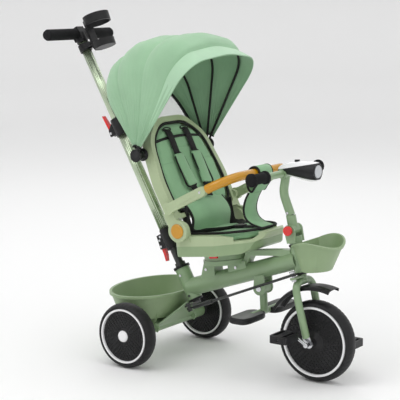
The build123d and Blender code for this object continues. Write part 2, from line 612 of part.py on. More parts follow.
# ---- steering rod under the spine ----
EYE = 8.0
ROD_FRONT = on_steer(7) + Vector(0, -LEVER_ARM, 0)
ROD_RUN = (ROD_FRONT - ROD_REAR).normalized()
OPEN_EYE = 5.0           # bore of the front eye, wide because the linkage is open there
with BuildPart() as steer_rod:
    rod(ROD_REAR - ROD_AXIS * 4, ROD_REAR + ROD_AXIS * 4, 9)
    rod(ROD_REAR + ROD_RUN * 6, ROD_REAR + ROD_RUN * 20, 3.5)
    rod(ROD_REAR + ROD_RUN * 18, ROD_REAR + ROD_RUN * 95, 7)
    rod(ROD_REAR + ROD_RUN * 90, ROD_FRONT - ROD_RUN * 8, 4.2)
    rod(ROD_FRONT - STEER_UP * 4, ROD_FRONT + STEER_UP * 4, 9.5)
    rod(ROD_REAR - ROD_AXIS * 9, ROD_REAR + ROD_AXIS * 9, BOLT_RADIUS + RUNNING, mode=Mode.SUBTRACT)
    rod(ROD_FRONT - STEER_UP * 9, ROD_FRONT + STEER_UP * 9, OPEN_EYE, mode=Mode.SUBTRACT)
save(steer_rod, "steer_rod")

# ---- push handle, upper part ----
UPPER_TUBE_START = 400.0
UPPER_TUBE_END = 830.0
HANDLE = 852.0
HANDLE_HALF = 164.0
HANDLE_BAR = 11.0
CUP_HINGE = on_push(800, 32)
with BuildPart() as push_tube_upper:
    rod(on_push(UPPER_TUBE_START), on_push(UPPER_TUBE_END), UPPER_TUBE_RADIUS)
    rod(on_push(UPPER_TUBE_START), on_push(UPPER_TUBE_END), UPPER_TUBE_RADIUS - WALL, mode=Mode.SUBTRACT)
save(push_tube_upper, "push_tube_upper")

with BuildPart() as handle_head:
    slab([(-17, 828), (17, 828), (18, 852), (14, 873), (-14, 873), (-18, 852)], -17, 17, SOCKET_MOUTH, PUSH_LEAN)
    rod(on_push(820), on_push(852), 19)
    cross_rod(on_push(HANDLE), HANDLE_BAR, -HANDLE_HALF + 3, HANDLE_HALF - 3)
    rod(on_push(788), on_push(812), 21)
    for side in (-1, 1):
        cheek = sorted((side * 10, side * 14))
        slab([(10, 790), (32, 792), (40, 800), (32, 808), (10, 810)], *cheek, SOCKET_MOUTH, PUSH_LEAN)
    rod(on_push(780), on_push(UPPER_TUBE_END), UPPER_TUBE_RADIUS, mode=Mode.SUBTRACT)
    cross_rod(CUP_HINGE, LEVER_PIN, -14, 14)
save(handle_head, "handle_head")

with BuildPart() as handle_grips:
    for side in (-1, 1):
        turned(on_push(HANDLE), [(side * 21, HANDLE_BAR), (side * 21, 18.5), (side * 155, 18.5),
                                 (side * 162, 15), (side * HANDLE_HALF, 8), (side * HANDLE_HALF, 0),
                                 (side * (HANDLE_HALF - 3), 0), (side * (HANDLE_HALF - 3), HANDLE_BAR)])
save(handle_grips, "handle_grips")

# ---- cup holder in front of the push handle ----
CUP_LEAN = 21.7
CUP_UP = unit(CUP_LEAN)
RING = on_push(858, 91)
CUP_LOW = RING - CUP_UP * 84
RING_BORE = 40.0
RING_HALF = 15.0
with BuildPart() as cup_holder:
    rod(RING - CUP_UP * RING_HALF, RING + CUP_UP * RING_HALF, RING_BORE + 4)
    rod(CUP_LOW - CUP_UP * 12, CUP_LOW + CUP_UP * 12, 36)
    slab([(34, 796), (47, 766), (54, 872), (46, 872), (42, 806), (34, 804)], -17, 17, SOCKET_MOUTH, PUSH_LEAN)
    slab([(20, 780), (41, 770), (41, 830), (20, 830)], 9.4, 20, SOCKET_MOUTH, PUSH_LEAN, mode=Mode.SUBTRACT)
    slab([(20, 780), (41, 770), (41, 830), (20, 830)], -20, -9.4, SOCKET_MOUTH, PUSH_LEAN, mode=Mode.SUBTRACT)
    cross_rod(CUP_HINGE, 6.5, -9.4, 9.4)
    rod(CUP_LOW - CUP_UP * 9, CUP_LOW + CUP_UP * 30, 33, mode=Mode.SUBTRACT)
    rod(RING - CUP_UP * 20, RING + CUP_UP * 20, RING_BORE, mode=Mode.SUBTRACT)
    cross_rod(CUP_HINGE, LEVER_PIN + RUNNING, -12, 12, mode=Mode.SUBTRACT)
save(cup_holder, "cup_holder")

# ---- seat: swivel disc, lower shell, upper pan, cushion ----
BASE_LOW = 44.0
SEAM = 76.0
SEAT_PLANE = Plane(origin=SWIVEL, x_dir=SEAT_OUT, z_dir=SWIVEL_UP)
EAR_OUT = 160.0
NOSE = 190.0             # short enough to pass the push post when the seat faces back
PIVOT_PIN = 8.0
with BuildPart() as turntable_top:
    rod(SWIVEL + SWIVEL_UP * (TABLE_THICK + GAP), SWIVEL + SWIVEL_UP * (BASE_LOW - 0.2), TABLE_RADIUS - 4)
    rod(SWIVEL, SWIVEL + SWIVEL_UP * (PIN_TOP + 1), SWIVEL_PIN + RUNNING, mode=Mode.SUBTRACT)
    # pocket for the release button, in the rim on the right
    with BuildSketch(SEAT_PLANE.offset(24)) as pocket:
        with Locations((0, -TABLE_RADIUS + 10)):
            Rectangle(31, 20)
    extrude(pocket.sketch, amount=17, mode=Mode.SUBTRACT)
save(turntable_top, "turntable_top")

with BuildPart() as swivel_button:
    with BuildSketch(SEAT_PLANE.offset(24.5)) as button_face:
        with Locations((0, -TABLE_RADIUS + 6)):
            RectangleRounded(30, 14, 3)
    extrude(button_face.sketch, amount=16)
save(swivel_button, "swivel_button")


def seat_plan(inset, low, high, mode):
    """Plan of the seat, wide at the back and round at the nose."""
    with BuildSketch(SEAT_PLANE.offset(low)) as plan:
        with BuildLine():
            FilletPolyline((-84 + inset, -158 + inset), (66, -158 + inset), (142, -108 + inset),
                           (NOSE - inset, -50), (NOSE - inset, 50), (142, 108 - inset),
                           (66, 158 - inset), (-84 + inset, 158 - inset), radius=24, close=True)
        make_face()
    extrude(plan.sketch, amount=high - low, mode=mode)


with BuildPart() as seat_base:
    slab([(-72, BASE_LOW), (132, BASE_LOW), (152, 54), (164, SEAM), (-84, SEAM), (-84, 58)],
         -160, 160, SWIVEL, SEAT_LEAN)
    seat_plan(0, 30, 130, Mode.INTERSECT)
save(seat_base, "seat_base")

with BuildPart() as seat_pan:
    slab([(-84, SEAM), (164, SEAM), (182, 84), (NOSE + 2, 100), (172, 105), (138, 94), (60, 106), (-84, 108)],
         -160, 160, SWIVEL, SEAT_LEAN)
    seat_plan(0, 30, 130, Mode.INTERSECT)
    slab([(-66, 84), (158, 84), (174, 96), (174, 130), (-66, 130)], -124, 124, SWIVEL, SEAT_LEAN,
         mode=Mode.SUBTRACT)
    for side in (-1, 1):
        ear = sorted((side * 148, side * EAR_OUT))
        slab([(-76, 90), (-18, 90), (-22, 126), (-74, 126)], *ear, SWIVEL, SEAT_LEAN)
        cross_rod(PIVOT, 27, *ear)
        cross_rod(PIVOT, PIVOT_PIN, *sorted((side * 148, side * 177)))
save(seat_pan, "seat_pan")

with BuildPart() as seat_cushion:
    slab([(-62, 84.4), (155, 84.4), (170, 97), (168, 112), (120, 107), (-62, 107)], -121, 121, SWIVEL, SEAT_LEAN)
    seat_plan(18, 80, 120, Mode.INTERSECT)
save(seat_cushion, "seat_cushion")

with BuildPart() as crotch_strap:
    slab([(388, 461), (394, 461), (409, 500), (409, 552), (392, 590), (386, 588), (402, 550), (402, 502)],
         -22, 22, at(0, 0, 0))
save(crotch_strap, "crotch_strap")

# ---- backrest: shell with a raised rim, caps, cushion, harness ----
SHELL_BACK = -25.0
SHELL_DEPTH = 37.0
BUMPER_HINGE = on_back(73, 10.4)
BUMPER_PIN = 8.0


def back_outline(inset, low):
    """Front view of the backrest, in (y, rise) with a rounded top."""
    with BuildSketch(Plane(origin=PIVOT, x_dir=(0, 1, 0), z_dir=BACK_OUT)) as face:
        with BuildLine():
            FilletPolyline((-168 + inset, low), (-175 + inset, 160), (-150 + inset, 296),
                           (-72 + inset / 2, 366 - inset), (72 - inset / 2, 366 - inset),
                           (150 - inset, 296), (175 - inset, 160), (168 - inset, low),
                           radius=[12, 200, 100, 90, 90, 100, 200, 12], close=True)
        make_face()
    return face.sketch


def move_out(shape, distance):
    """The same outline carried forward of the pivot plane."""
    return shape.moved(Location(BACK_OUT * distance))


with BuildPart() as backrest_shell:
    extrude(move_out(back_outline(0, 36), SHELL_BACK), amount=SHELL_DEPTH)
    extrude(move_out(back_outline(18, 50), SHELL_BACK + 8), amount=SHELL_DEPTH, mode=Mode.SUBTRACT)
    for side in (-1, 1):
        rail = sorted((side * 163, side * 177))
        slab([(-25, 0), (12, 0), (12, 62), (-25, 66)], *rail, PIVOT, BACK_LEAN)
        cross_rod(PIVOT, 34, *rail)
        cross_rod(BUMPER_HINGE, 13, *rail)
        cross_rod(BUMPER_HINGE, BUMPER_PIN, *sorted((side * 163, side * 192)))
    cross_rod(PIVOT, PIVOT_PIN + RUNNING, -180, 180, mode=Mode.SUBTRACT)
save(backrest_shell, "backrest_shell")

with BuildPart() as pivot_caps:
    for side in (-1, 1):
        turned(PIVOT, [(side * 177.2, 0), (side * 177.2, 22.5), (side * 179.5, 22.5), (side * 181.5, 19),
                       (side * 181.5, 0)])
save(pivot_caps, "pivot_caps")

with BuildPart() as backrest_cushion:
    extrude(move_out(back_outline(21, 53), SHELL_BACK + 8.4), amount=27)
save(backrest_cushion, "backrest_cushion")

with BuildPart() as harness_straps:
    for y in (-62, 34):
        slab([(11, 118), (14, 118), (14, 318), (11, 318)], y, y + 28, PIVOT, BACK_LEAN)
save(harness_straps, "harness_straps")

# ---- bumper bar across the front of the seat ----
BUMPER_OUT = forward(BAR_RISE)
BUMPER_RADIUS = 12.0
BUMPER_DEPTH = 236.0
ARM_LENGTH = 138.0
BUMPER_BENDS = [80, 80]


def bumper_point(distance, y):
    """Point in the bumper bar's plane."""
    return BUMPER_HINGE + BUMPER_OUT * distance + Vector(0, y, 0)


with BuildPart() as bumper_bar:
    bumper_path = [bumper_point(40, -184), bumper_point(BUMPER_DEPTH, -178),
                   bumper_point(BUMPER_DEPTH, 178), bumper_point(40, 184)]
    bent_tube(bumper_path, BUMPER_BENDS, BUMPER_RADIUS)
    for side in (-1, 1):
        hub = sorted((side * 177.6, side * 193))
        cross_rod(BUMPER_HINGE, 19, *hub)
        arm_origin = bumper_point(0, 0)
        with BuildSketch(Plane(origin=arm_origin + Vector(0, hub[1], 0), x_dir=BUMPER_OUT,
                               z_dir=(0, -1, 0))) as arm:
            with Locations((ARM_LENGTH / 2, 0)):
                SlotOverall(ARM_LENGTH + 30, 30)
        extrude(arm.sketch, amount=hub[1] - hub[0])
    cross_rod(BUMPER_HINGE, BUMPER_PIN + RUNNING, -200, 200, mode=Mode.SUBTRACT)
    cross_rod(BUMPER_HINGE, 14, -177.5, 177.5, mode=Mode.SUBTRACT)
save(bumper_bar, "bumper_bar")

GRIP_FROM = 154.0
grip_y = 184 - 6 * (GRIP_FROM - 40) / (BUMPER_DEPTH - 40)
with BuildPart() as bumper_grip:
    grip_path = [bumper_point(GRIP_FROM, -grip_y), bumper_point(BUMPER_DEPTH, -178),
                 bumper_point(BUMPER_DEPTH, 178), bumper_point(GRIP_FROM, grip_y)]
    bent_tube(grip_path, BUMPER_BENDS, BUMPER_RADIUS + 2)
    bent_tube(bumper_path, BUMPER_BENDS, BUMPER_RADIUS, mode=Mode.SUBTRACT)
save(bumper_grip, "bumper_grip")

# ---- canopy: fixed rear bow on brackets, three folding bows, fabric ----
BOW_RADIUS = 2.2
HUB_THICK = 4.8
CANOPY_PIN = 4.0


def bow_point(angle, y, reach):
    """Point on a bow that leans forward by an angle."""
    lean = math.radians(angle)
    return CANOPY_PIVOT + Vector(math.sin(lean) * reach, y, math.cos(lean) * reach)


def bow_rod(angle, half, start, top, bend, radius):
    """U-shaped rod from one pivot over to the other."""
    shoulder = top - 27
    points = [bow_point(angle, -half, start), bow_point(angle, -half, shoulder), bow_point(angle, 0, top),
              bow_point(angle, half, shoulder), bow_point(angle, half, start)]
    bent_tube(points, [bend, 300, bend], radius)


with BuildPart() as canopy_mount:
    bow_rod(-38, 171, 6, 292, 135, 3)
    for side in (-1, 1):
        plate = sorted((side * 110, side * 174.8))
        slab([(-34, 250), (-25.2, 250), (-25.2, 280), (-34, 280)], *plate, PIVOT, BACK_LEAN)
        cross_rod(CANOPY_PIVOT, 14, *sorted((side * 163, side * 174.8)))
        cross_rod(CANOPY_PIVOT, CANOPY_PIN, *sorted((side * 163, side * 193)))
        cross_rod(CANOPY_PIVOT, 13, *sorted((side * 191.6, side * 195)))
save(canopy_mount, "canopy_mount")

BOWS = [("bow_rear", -20, 178.0, 322, 120), ("bow_middle", 6, 183.2, 348, 105), ("bow_front", 26, 188.4, 364, 95)]
for name, angle, half, top, bend in BOWS:
    with BuildPart() as bow:
        bow_rod(angle, half, 8, top, bend, BOW_RADIUS)
        for side in (-1, 1):
            eye = sorted((side * (half - HUB_THICK / 2), side * (half + HUB_THICK / 2)))
            cross_rod(CANOPY_PIVOT, 11, *eye)
        cross_rod(CANOPY_PIVOT, CANOPY_PIN + RUNNING, -200, 200, mode=Mode.SUBTRACT)
    save(bow, name)

ARCH = at(75, 0, 705)
ARCH_TOP = 325.0
CLOTH = 2.0


def arch_band(half, shoulder, top, foot):
    """Outline of the canopy's section, in (y, reach)."""
    return FilletPolyline((-half, foot), (-half, shoulder), (0, top), (half, shoulder), (half, foot),
                          radius=[80, 380, 80])


with BuildPart() as canopy_fabric:
    rear_edge = -48
    tilt = math.radians(rear_edge)
    arch_plane = Plane(origin=ARCH, x_dir=(0, 1, 0), z_dir=(math.cos(tilt), 0, -math.sin(tilt)))
    with BuildSketch(arch_plane) as band:
        with BuildLine():
            arch_band(194, ARCH_TOP - 28, ARCH_TOP, 60)
            Line((194, 60), (194 - CLOTH, 60))
            arch_band(194 - CLOTH, ARCH_TOP - 28 - CLOTH, ARCH_TOP - CLOTH, 60)
            Line((CLOTH - 194, 60), (-194, 60))
        make_face()
    revolve(band.sketch, axis=Axis(ARCH, (0, 1, 0)), revolution_arc=76)
save(canopy_fabric, "canopy_fabric")

# ---- footrest ----
FOOT_BAR = at(374, 0, 190)
with BuildPart() as footrest_frame:
    cross_rod(FOOT_HINGE, 19, -19.4, 19.4)
    rod(FOOT_HINGE, FOOT_BAR, 12)
    cross_rod(FOOT_BAR, 10, -72, 72)
    cross_rod(FOOT_HINGE, 6 + RUNNING, -30, 30, mode=Mode.SUBTRACT)
save(footrest_frame, "footrest_frame")

with BuildPart() as footrest_pads:
    for side in (-1, 1):
        with BuildSketch(Plane(origin=at(372, side * 90, 178))) as pad:
            RectangleRounded(66, 136, 28)
        extrude(pad.sketch, amount=20)
        with BuildSketch(Plane(origin=at(356, side * 96, 178))) as slot:
            SlotOverall(70, 10, rotation=90)
        extrude(slot.sketch, amount=20, mode=Mode.SUBTRACT)
    cross_rod(FOOT_BAR, 10, -72, 72, mode=Mode.SUBTRACT)
save(footrest_pads, "footrest_pads")

# ---- screws of the frame, and the footrest's hinge pin ----
with BuildPart() as frame_hardware:
    cross_rod(FOOT_HINGE, 6, -25, 25)
    for side in (-1, 1):
        cross_rod(FOOT_HINGE, 9, *sorted((side * 25, side * 28)))
        for distance in (-93, -22):
            cross_rod(on_push(distance), 4.5, *sorted((side * 23.8, side * 27)))
        for x, z in ((172, 300), (284, 320)):
            cross_rod(at(x, 0, z), 4.5, *sorted((side * 24, side * 27)))
    rod(on_push(-110), on_push(10), SOCKET_RADIUS, mode=Mode.SUBTRACT)
save(frame_hardware, "frame_hardware")
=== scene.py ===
# %% [markdown]
# # A child's tricycle, dressed over its measured parts
# The tricycle arrives as a packed set of solids that already fit and move. This lesson gives each of
# them its real finish, and builds in mesh code what solids show badly: cloth, padding, webbing, piping,
# moulded patterns and small trim. Everything is in metres, +X forward, +Y the rider's left, +Z up.

# %% Load the parts
import math
import bpy
import bmesh
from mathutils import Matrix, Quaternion, Vector


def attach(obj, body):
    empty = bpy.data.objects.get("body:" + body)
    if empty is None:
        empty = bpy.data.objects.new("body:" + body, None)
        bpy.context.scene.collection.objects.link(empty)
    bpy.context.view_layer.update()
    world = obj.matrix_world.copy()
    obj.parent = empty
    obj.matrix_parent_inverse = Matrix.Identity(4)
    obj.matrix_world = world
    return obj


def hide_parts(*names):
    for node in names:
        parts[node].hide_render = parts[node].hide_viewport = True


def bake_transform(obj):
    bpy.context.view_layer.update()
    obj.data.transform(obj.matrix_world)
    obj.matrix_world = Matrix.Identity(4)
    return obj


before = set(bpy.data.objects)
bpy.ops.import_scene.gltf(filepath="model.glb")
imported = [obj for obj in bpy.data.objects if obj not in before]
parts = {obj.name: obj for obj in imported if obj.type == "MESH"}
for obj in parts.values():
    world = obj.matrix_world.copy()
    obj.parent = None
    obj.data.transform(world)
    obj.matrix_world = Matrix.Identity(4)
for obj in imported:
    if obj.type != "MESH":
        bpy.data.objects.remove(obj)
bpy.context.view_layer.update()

print("parts:", len(parts))

# %% [markdown]
# The maker's drawing counts its stations in millimetres forward of the rear axle, so a helper turns a
# station into a point of the scene. Three leaning directions come back often: the push handle, the seat
# and the backrest. The bumper bar has a rise of its own.

# %% Stations and leaning directions
REAR_AXLE_X = -0.1553
MM = 0.001


def at(x, y, z):
    """Point at a station, given in millimetres."""
    return Vector((REAR_AXLE_X + x * MM, y * MM, z * MM))


def up_along(lean):
    """Direction that leans back from vertical by so many degrees."""
    return Vector((-math.sin(math.radians(lean)), 0, math.cos(math.radians(lean))))


def out_from(lean):
    """Direction square to up_along, pointing forward."""
    return Vector((math.cos(math.radians(lean)), 0, math.sin(math.radians(lean))))


PUSH_LEAN, SEAT_LEAN, BACK_LEAN, BAR_RISE = 29.3, 7.0, 27.0, 27.0
PUSH_FOOT, SEAT_FOOT, BACK_FOOT = at(61, 0, 287), at(236, 0, 327), at(172, 0, 446)
HOOD_HINGE = at(30, 0, 670)


def place(foot, lean, rise, out=0.0, y=0.0):
    """Point so many millimetres up a leaning direction, out from it and to the left."""
    return foot + (up_along(lean) * rise + out_from(lean) * out) * MM + Vector((0, y * MM, 0))


def on_back(y, rise, out):
    """Point on the backrest: to the left, up it and out from it."""
    return place(BACK_FOOT, BACK_LEAN, rise, out, y)


def on_seat(y, out, rise):
    """Point on the seat: to the left, forward and up."""
    return place(SEAT_FOOT, SEAT_LEAN, rise, out, y)


BAR_HINGE = place(BACK_FOOT, BACK_LEAN, 73, 10.4)


def on_bar(distance, y, lift=0.0):
    """Point in the bumper bar's plane, or lifted square to it."""
    return place(BAR_HINGE, BAR_RISE, lift, distance, y)


print("hood hinge:", [round(v, 3) for v in HOOD_HINGE])

# %% [markdown]
# ## Finishes
# Each finish starts from one shader and adds what the eye expects at close range: a slow drift of colour,
# and a fine relief. The relief is a noise for paint and moulded plastic, and crossed waves for cloth.

# %% A finish with drifting colour and fine relief
BUMP_STRENGTH = 0.6


def finish_of(name, colour, roughness, drift=0.06, relief=0.0, relief_size=400.0, **sockets):
    """Material whose colour drifts and whose surface has a fine relief."""
    material = bpy.data.materials.new(name)
    material.use_nodes = True
    tree = material.node_tree
    shader = tree.nodes["Principled BSDF"]
    shader.inputs["Roughness"].default_value = roughness
    for socket, value in sockets.items():
        shader.inputs[socket.replace("_", " ")].default_value = value
    where = tree.nodes.new("ShaderNodeTexCoord")
    patches = tree.nodes.new("ShaderNodeTexNoise")
    patches.inputs["Scale"].default_value = 14
    patches.inputs["Detail"].default_value = 4
    tree.links.new(where.outputs["Object"], patches.inputs["Vector"])
    ramp = tree.nodes.new("ShaderNodeValToRGB")
    ramp.color_ramp.elements[0].position = 0.3
    ramp.color_ramp.elements[1].position = 0.7
    ramp.color_ramp.elements[0].color = (*[c * (1 - drift) for c in colour], 1)
    ramp.color_ramp.elements[1].color = (*[min(1, c * (1 + drift)) for c in colour], 1)
    tree.links.new(patches.outputs["Fac"], ramp.inputs["Fac"])
    tree.links.new(ramp.outputs["Color"], shader.inputs["Base Color"])
    if relief:
        pits = tree.nodes.new("ShaderNodeTexNoise")
        pits.inputs["Scale"].default_value = relief_size
        pits.inputs["Detail"].default_value = 3
        tree.links.new(where.outputs["Object"], pits.inputs["Vector"])
        add_relief(tree, pits.outputs["Fac"], relief)
    return material


def add_relief(tree, height, depth):
    """Bump the shader's surface by a height."""
    bump = tree.nodes.new("ShaderNodeBump")
    bump.inputs["Strength"].default_value = BUMP_STRENGTH
    bump.inputs["Distance"].default_value = depth * MM
    tree.links.new(height, bump.inputs["Height"])
    tree.links.new(bump.outputs["Normal"], tree.nodes["Principled BSDF"].inputs["Normal"])


print("finish maker ready")

# %% [markdown]
# Cloth needs threads rather than grain. One wave texture repeats every 0.314 units at a scale of one, so
# dividing that by the thread's pitch gives bands as wide as the threads. Three sets of bands cross, one
# along each direction, so the weave shows on a surface whichever way it faces and needs no unwrapping.

# %% A woven finish
WAVE_REPEAT = 0.314


def woven_of(name, colour, pitch=1.6, depth=0.25, drift=0.08, **sockets):
    """Cloth whose threads are three crossing sets of waves, pitch and depth in millimetres."""
    material = finish_of(name, colour, 0.85, drift, **sockets)
    tree = material.node_tree
    where = tree.nodes["Texture Coordinate"]
    threads = []
    for direction in ("X", "Y", "Z"):
        wave = tree.nodes.new("ShaderNodeTexWave")
        wave.bands_direction = direction
        wave.inputs["Scale"].default_value = WAVE_REPEAT / (pitch * MM)
        wave.inputs["Distortion"].default_value = 0.6
        tree.links.new(where.outputs["Object"], wave.inputs["Vector"])
        threads.append(wave.outputs["Fac"])
    both = tree.nodes.new("ShaderNodeMath")
    both.operation = "MULTIPLY"
    tree.links.new(threads[0], both.inputs[0])
    tree.links.new(threads[1], both.inputs[1])
    cloth = tree.nodes.new("ShaderNodeMath")
    cloth.operation = "ADD"
    tree.links.new(both.outputs[0], cloth.inputs[0])
    tree.links.new(threads[2], cloth.inputs[1])
    add_relief(tree, cloth.outputs[0], depth)
    return material


print("cloth maker ready")

# %% [markdown]
# The tricycle is sage green almost everywhere, so what separates its parts is how they shine. Powder coat
# is satin, the telescopic tubes are lacquered over bright metal, moulded plastic is duller and a little
# grainy, and foam grips and rubber hardly shine at all.

# %% Paint, plastic, metal and rubber
SAGE, PALE_SAGE, LEAF = (0.245, 0.36, 0.2), (0.41, 0.5, 0.3), (0.27, 0.49, 0.275)
BLACK = (0.012, 0.012, 0.013)
powder_coat = finish_of("sage_powder_coat", SAGE, 0.33, 0.05, 0.12, 900,
                        Coat_Weight=0.35, Coat_Roughness=0.2)
lacquer = finish_of("metallic_green_lacquer", (0.45, 0.54, 0.38), 0.16, 0.05, 0.03, 600,
                    Metallic=0.8, Coat_Weight=0.8, Coat_Roughness=0.08)
basket_plastic = finish_of("basket_plastic", (0.27, 0.375, 0.205), 0.42, 0.06, 0.2, 700)
seat_plastic = finish_of("pale_seat_plastic", PALE_SAGE, 0.38, 0.05, 0.15, 700)
black_plastic = finish_of("black_plastic", BLACK, 0.4, 0.2, 0.2, 800, Specular_IOR_Level=0.3)
black_metal = finish_of("black_metal", (0.014, 0.016, 0.015), 0.3, 0.15, 0.08, 700, Coat_Weight=0.3)
foam = finish_of("black_foam", BLACK, 0.88, 0.25, 0.6, 500, Specular_IOR_Level=0.2)
tread_rubber = finish_of("tyre_rubber", BLACK, 0.5, 0.2, 0.3, 500, Specular_IOR_Level=0.3)
white_gloss = finish_of("white_gloss_plastic", (0.86, 0.86, 0.87), 0.18, 0.02, 0.03, 300, Coat_Weight=0.5)
amber = finish_of("amber_plastic", (0.56, 0.26, 0.003), 0.3, 0.06, 0.1, 600, Coat_Weight=0.4)
red_gloss = finish_of("red_gloss_plastic", (0.75, 0.006, 0.004), 0.25, 0.04, 0.04, 400, Coat_Weight=0.5)
plated = finish_of("zinc_plate", (0.62, 0.63, 0.65), 0.26, 0.06, 0.05, 500, Metallic=1.0)
print("hard finishes:", len(bpy.data.materials))

# %% Cloth, webbing, net and lens
canopy_cloth = woven_of("canopy_cloth", (0.315, 0.525, 0.33), 1.5, 0.2, 0.05, Sheen_Weight=0.25)
visor_cloth = woven_of("visor_cloth", (0.41, 0.63, 0.43), 1.5, 0.15, 0.04, Sheen_Weight=0.25)
liner_cloth = woven_of("liner_cloth", LEAF, 1.8, 0.3, 0.07, Sheen_Weight=0.2)
webbing = woven_of("black_webbing", (0.012, 0.012, 0.012), 1.4, 0.4, 0.2)
binding = woven_of("black_binding", (0.01, 0.011, 0.01), 1.2, 0.25, 0.15)
netting = woven_of("window_netting", (0.86, 0.9, 0.87), 1.0, 0.3, 0.04, Alpha=0.4)
anti_slip = finish_of("grey_anti_slip", (0.2, 0.205, 0.2), 0.8, 0.1, 1.2, 260)
lens_glass = finish_of("lens", (0.8, 0.83, 0.86), 0.08, 0.05, 0.6, 160,
                       Transmission_Weight=0.35, Coat_Weight=1.0)
print("finishes:", len(bpy.data.materials))

# %% [markdown]
# The solid parts keep their shape and only change their material. The list runs from a finish to the parts
# that share it, because on the real tricycle they come out of the same paint line or the same granulate.

# %% Give the parts their finishes
FINISHES = {
    powder_coat: "frame_spine axle_tube frame_brackets seat_support fork handlebar footrest_frame"
                 " turntable_top",
    lacquer: "push_tube_lower push_tube_upper",
    basket_plastic: "rear_basket front_basket seat_base",
    seat_plastic: "seat_pan backrest_shell bumper_bar",
    black_plastic: "steering_bushes tube_clamps handle_head cup_holder mudguard pod_band rear_disc_right"
                   " rear_disc_left front_disc pedal_left pedal_right horn_button footrest_pads",
    black_metal: "steer_post canopy_mount steer_rod bow_rear bow_middle bow_front",
    foam: "handle_grips handlebar_grips",
    tread_rubber: "rear_tyre_right rear_tyre_left front_tyre",
    white_gloss: "rear_trim_right rear_trim_left front_ring pod_shells",
    amber: "pivot_caps bumper_grip",
    red_gloss: "fold_button upper_lever lower_lever swivel_button",
    plated: "rear_axle frame_hardware fork_hardware crank_axle",
    lens_glass: "pod_lens",
}
for finish, names in FINISHES.items():
    for name in names.split():
        for slot in parts[name].material_slots:
            slot.material = finish
print("finished parts:", sum(len(names.split()) for names in FINISHES.values()))

# %% [markdown]
# ## Making pieces
# Everything added here starts as points and faces.

# %% From points and faces to a piece
def make_piece(name, points, faces, finish, body=None, smooth=True):
    """Mesh piece with its finish, riding on a body."""
    mesh = bpy.data.meshes.new(name)
    mesh.from_pydata([tuple(p) for p in points], [], faces)
    mesh.materials.append(finish)
    mesh.update()
    shape = bmesh.new()
    shape.from_mesh(mesh)
    bmesh.ops.recalc_face_normals(shape, faces=shape.faces)
    shape.to_mesh(mesh)
    shape.free()
    for face in mesh.polygons:
        face.use_smooth = smooth
    piece = bpy.data.objects.new(name, mesh)
    bpy.context.scene.collection.objects.link(piece)
    if body:
        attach(piece, body)
    return piece


print("piece maker ready")

# %% [markdown]
# Piping, webbing and straps are long and thin, so each is drawn by its middle line and skinned over with
# one ring of points at every step. A curve with a bevel would do for round cords, but webbing must stay
# flat to what it lies on, so the cross directions are carried along the line by hand.

# %% Lines, and a skin over them
def smooth_line(points, steps=6, closed=False):
    """Even curve through the points (Catmull-Rom)."""
    count = len(points)
    line = []
    for i in range(count if closed else count - 1):
        a = points[(i - 1) % count] if closed or i else points[0] * 2 - points[1]
        b, c = points[i], points[(i + 1) % count]
        last = closed or i < count - 2
        d = points[(i + 2) % count] if last else points[-1] * 2 - points[-2]
        for k in range(steps):
            t = k / steps
            line.append(0.5 * (2 * b + (c - a) * t + (2 * a - 5 * b + 4 * c - d) * t * t
                               + (3 * b - a - 3 * c + d) * t ** 3))
    if not closed:
        line.append(points[-1])
    return line


def sweep(name, line, ring_at, finish, body=None, closed=False):
    """Skin over one ring of points for each point of a line."""
    points, faces = [], []
    rings = [ring_at(i) for i in range(len(line))]
    size = len(rings[0])
    for ring in rings:
        points += ring
    for i in range(len(rings) if closed else len(rings) - 1):
        j = (i + 1) % len(rings)
        for k in range(size):
            n = (k + 1) % size
            faces.append((i * size + k, i * size + n, j * size + n, j * size + k))
    if not closed:
        faces.append(tuple(range(size)))
        faces.append(tuple(range((len(rings) - 1) * size, len(rings) * size)))
    return make_piece(name, points, faces, finish, body)


def frames_along(line, closed=False, side=None):
    """A pair of cross directions at each point, carried along without twist."""
    count = len(line)
    pairs, across = [], side
    for i in range(count):
        before = line[(i - 1) % count] if closed or i else line[0]
        after = line[(i + 1) % count] if closed or i < count - 1 else line[-1]
        ahead = (after - before).normalized()
        if across is None:
            across = ahead.orthogonal()
        hint = side if side is not None else across
        across = (hint - ahead * hint.dot(ahead)).normalized()
        pairs.append((across, ahead.cross(across)))
    return pairs


print("sweeping ready")

# %% Round cords, flat bands and turned pieces
def cord_piece(name, points, radius, finish, body=None, closed=False, steps=6, around=10):
    """Round cord, rod or piping along a smooth line."""
    line = smooth_line(points, steps, closed)
    pairs = frames_along(line, closed)

    def ring(i):
        across, over = pairs[i]
        turns = [2 * math.pi * k / around for k in range(around)]
        return [line[i] + (across * math.cos(t) + over * math.sin(t)) * radius * MM for t in turns]
    return sweep(name, line, ring, finish, body, closed)


def band_piece(name, points, width, thick, finish, body=None, side=(0, 1, 0), closed=False,
               steps=6):
    """Flat band of webbing or binding, with rounded edges."""
    line = smooth_line(points, steps, closed)
    pairs = frames_along(line, closed, Vector(side))
    half, edge = width * MM / 2, thick * MM / 2
    outline = [(-half, 0), (-half + edge, edge), (half - edge, edge), (half, 0), (half - edge, -edge),
               (-half + edge, -edge)]

    def ring(i):
        across, over = pairs[i]
        return [line[i] + across * a + over * b for a, b in outline]
    return sweep(name, line, ring, finish, body, closed)


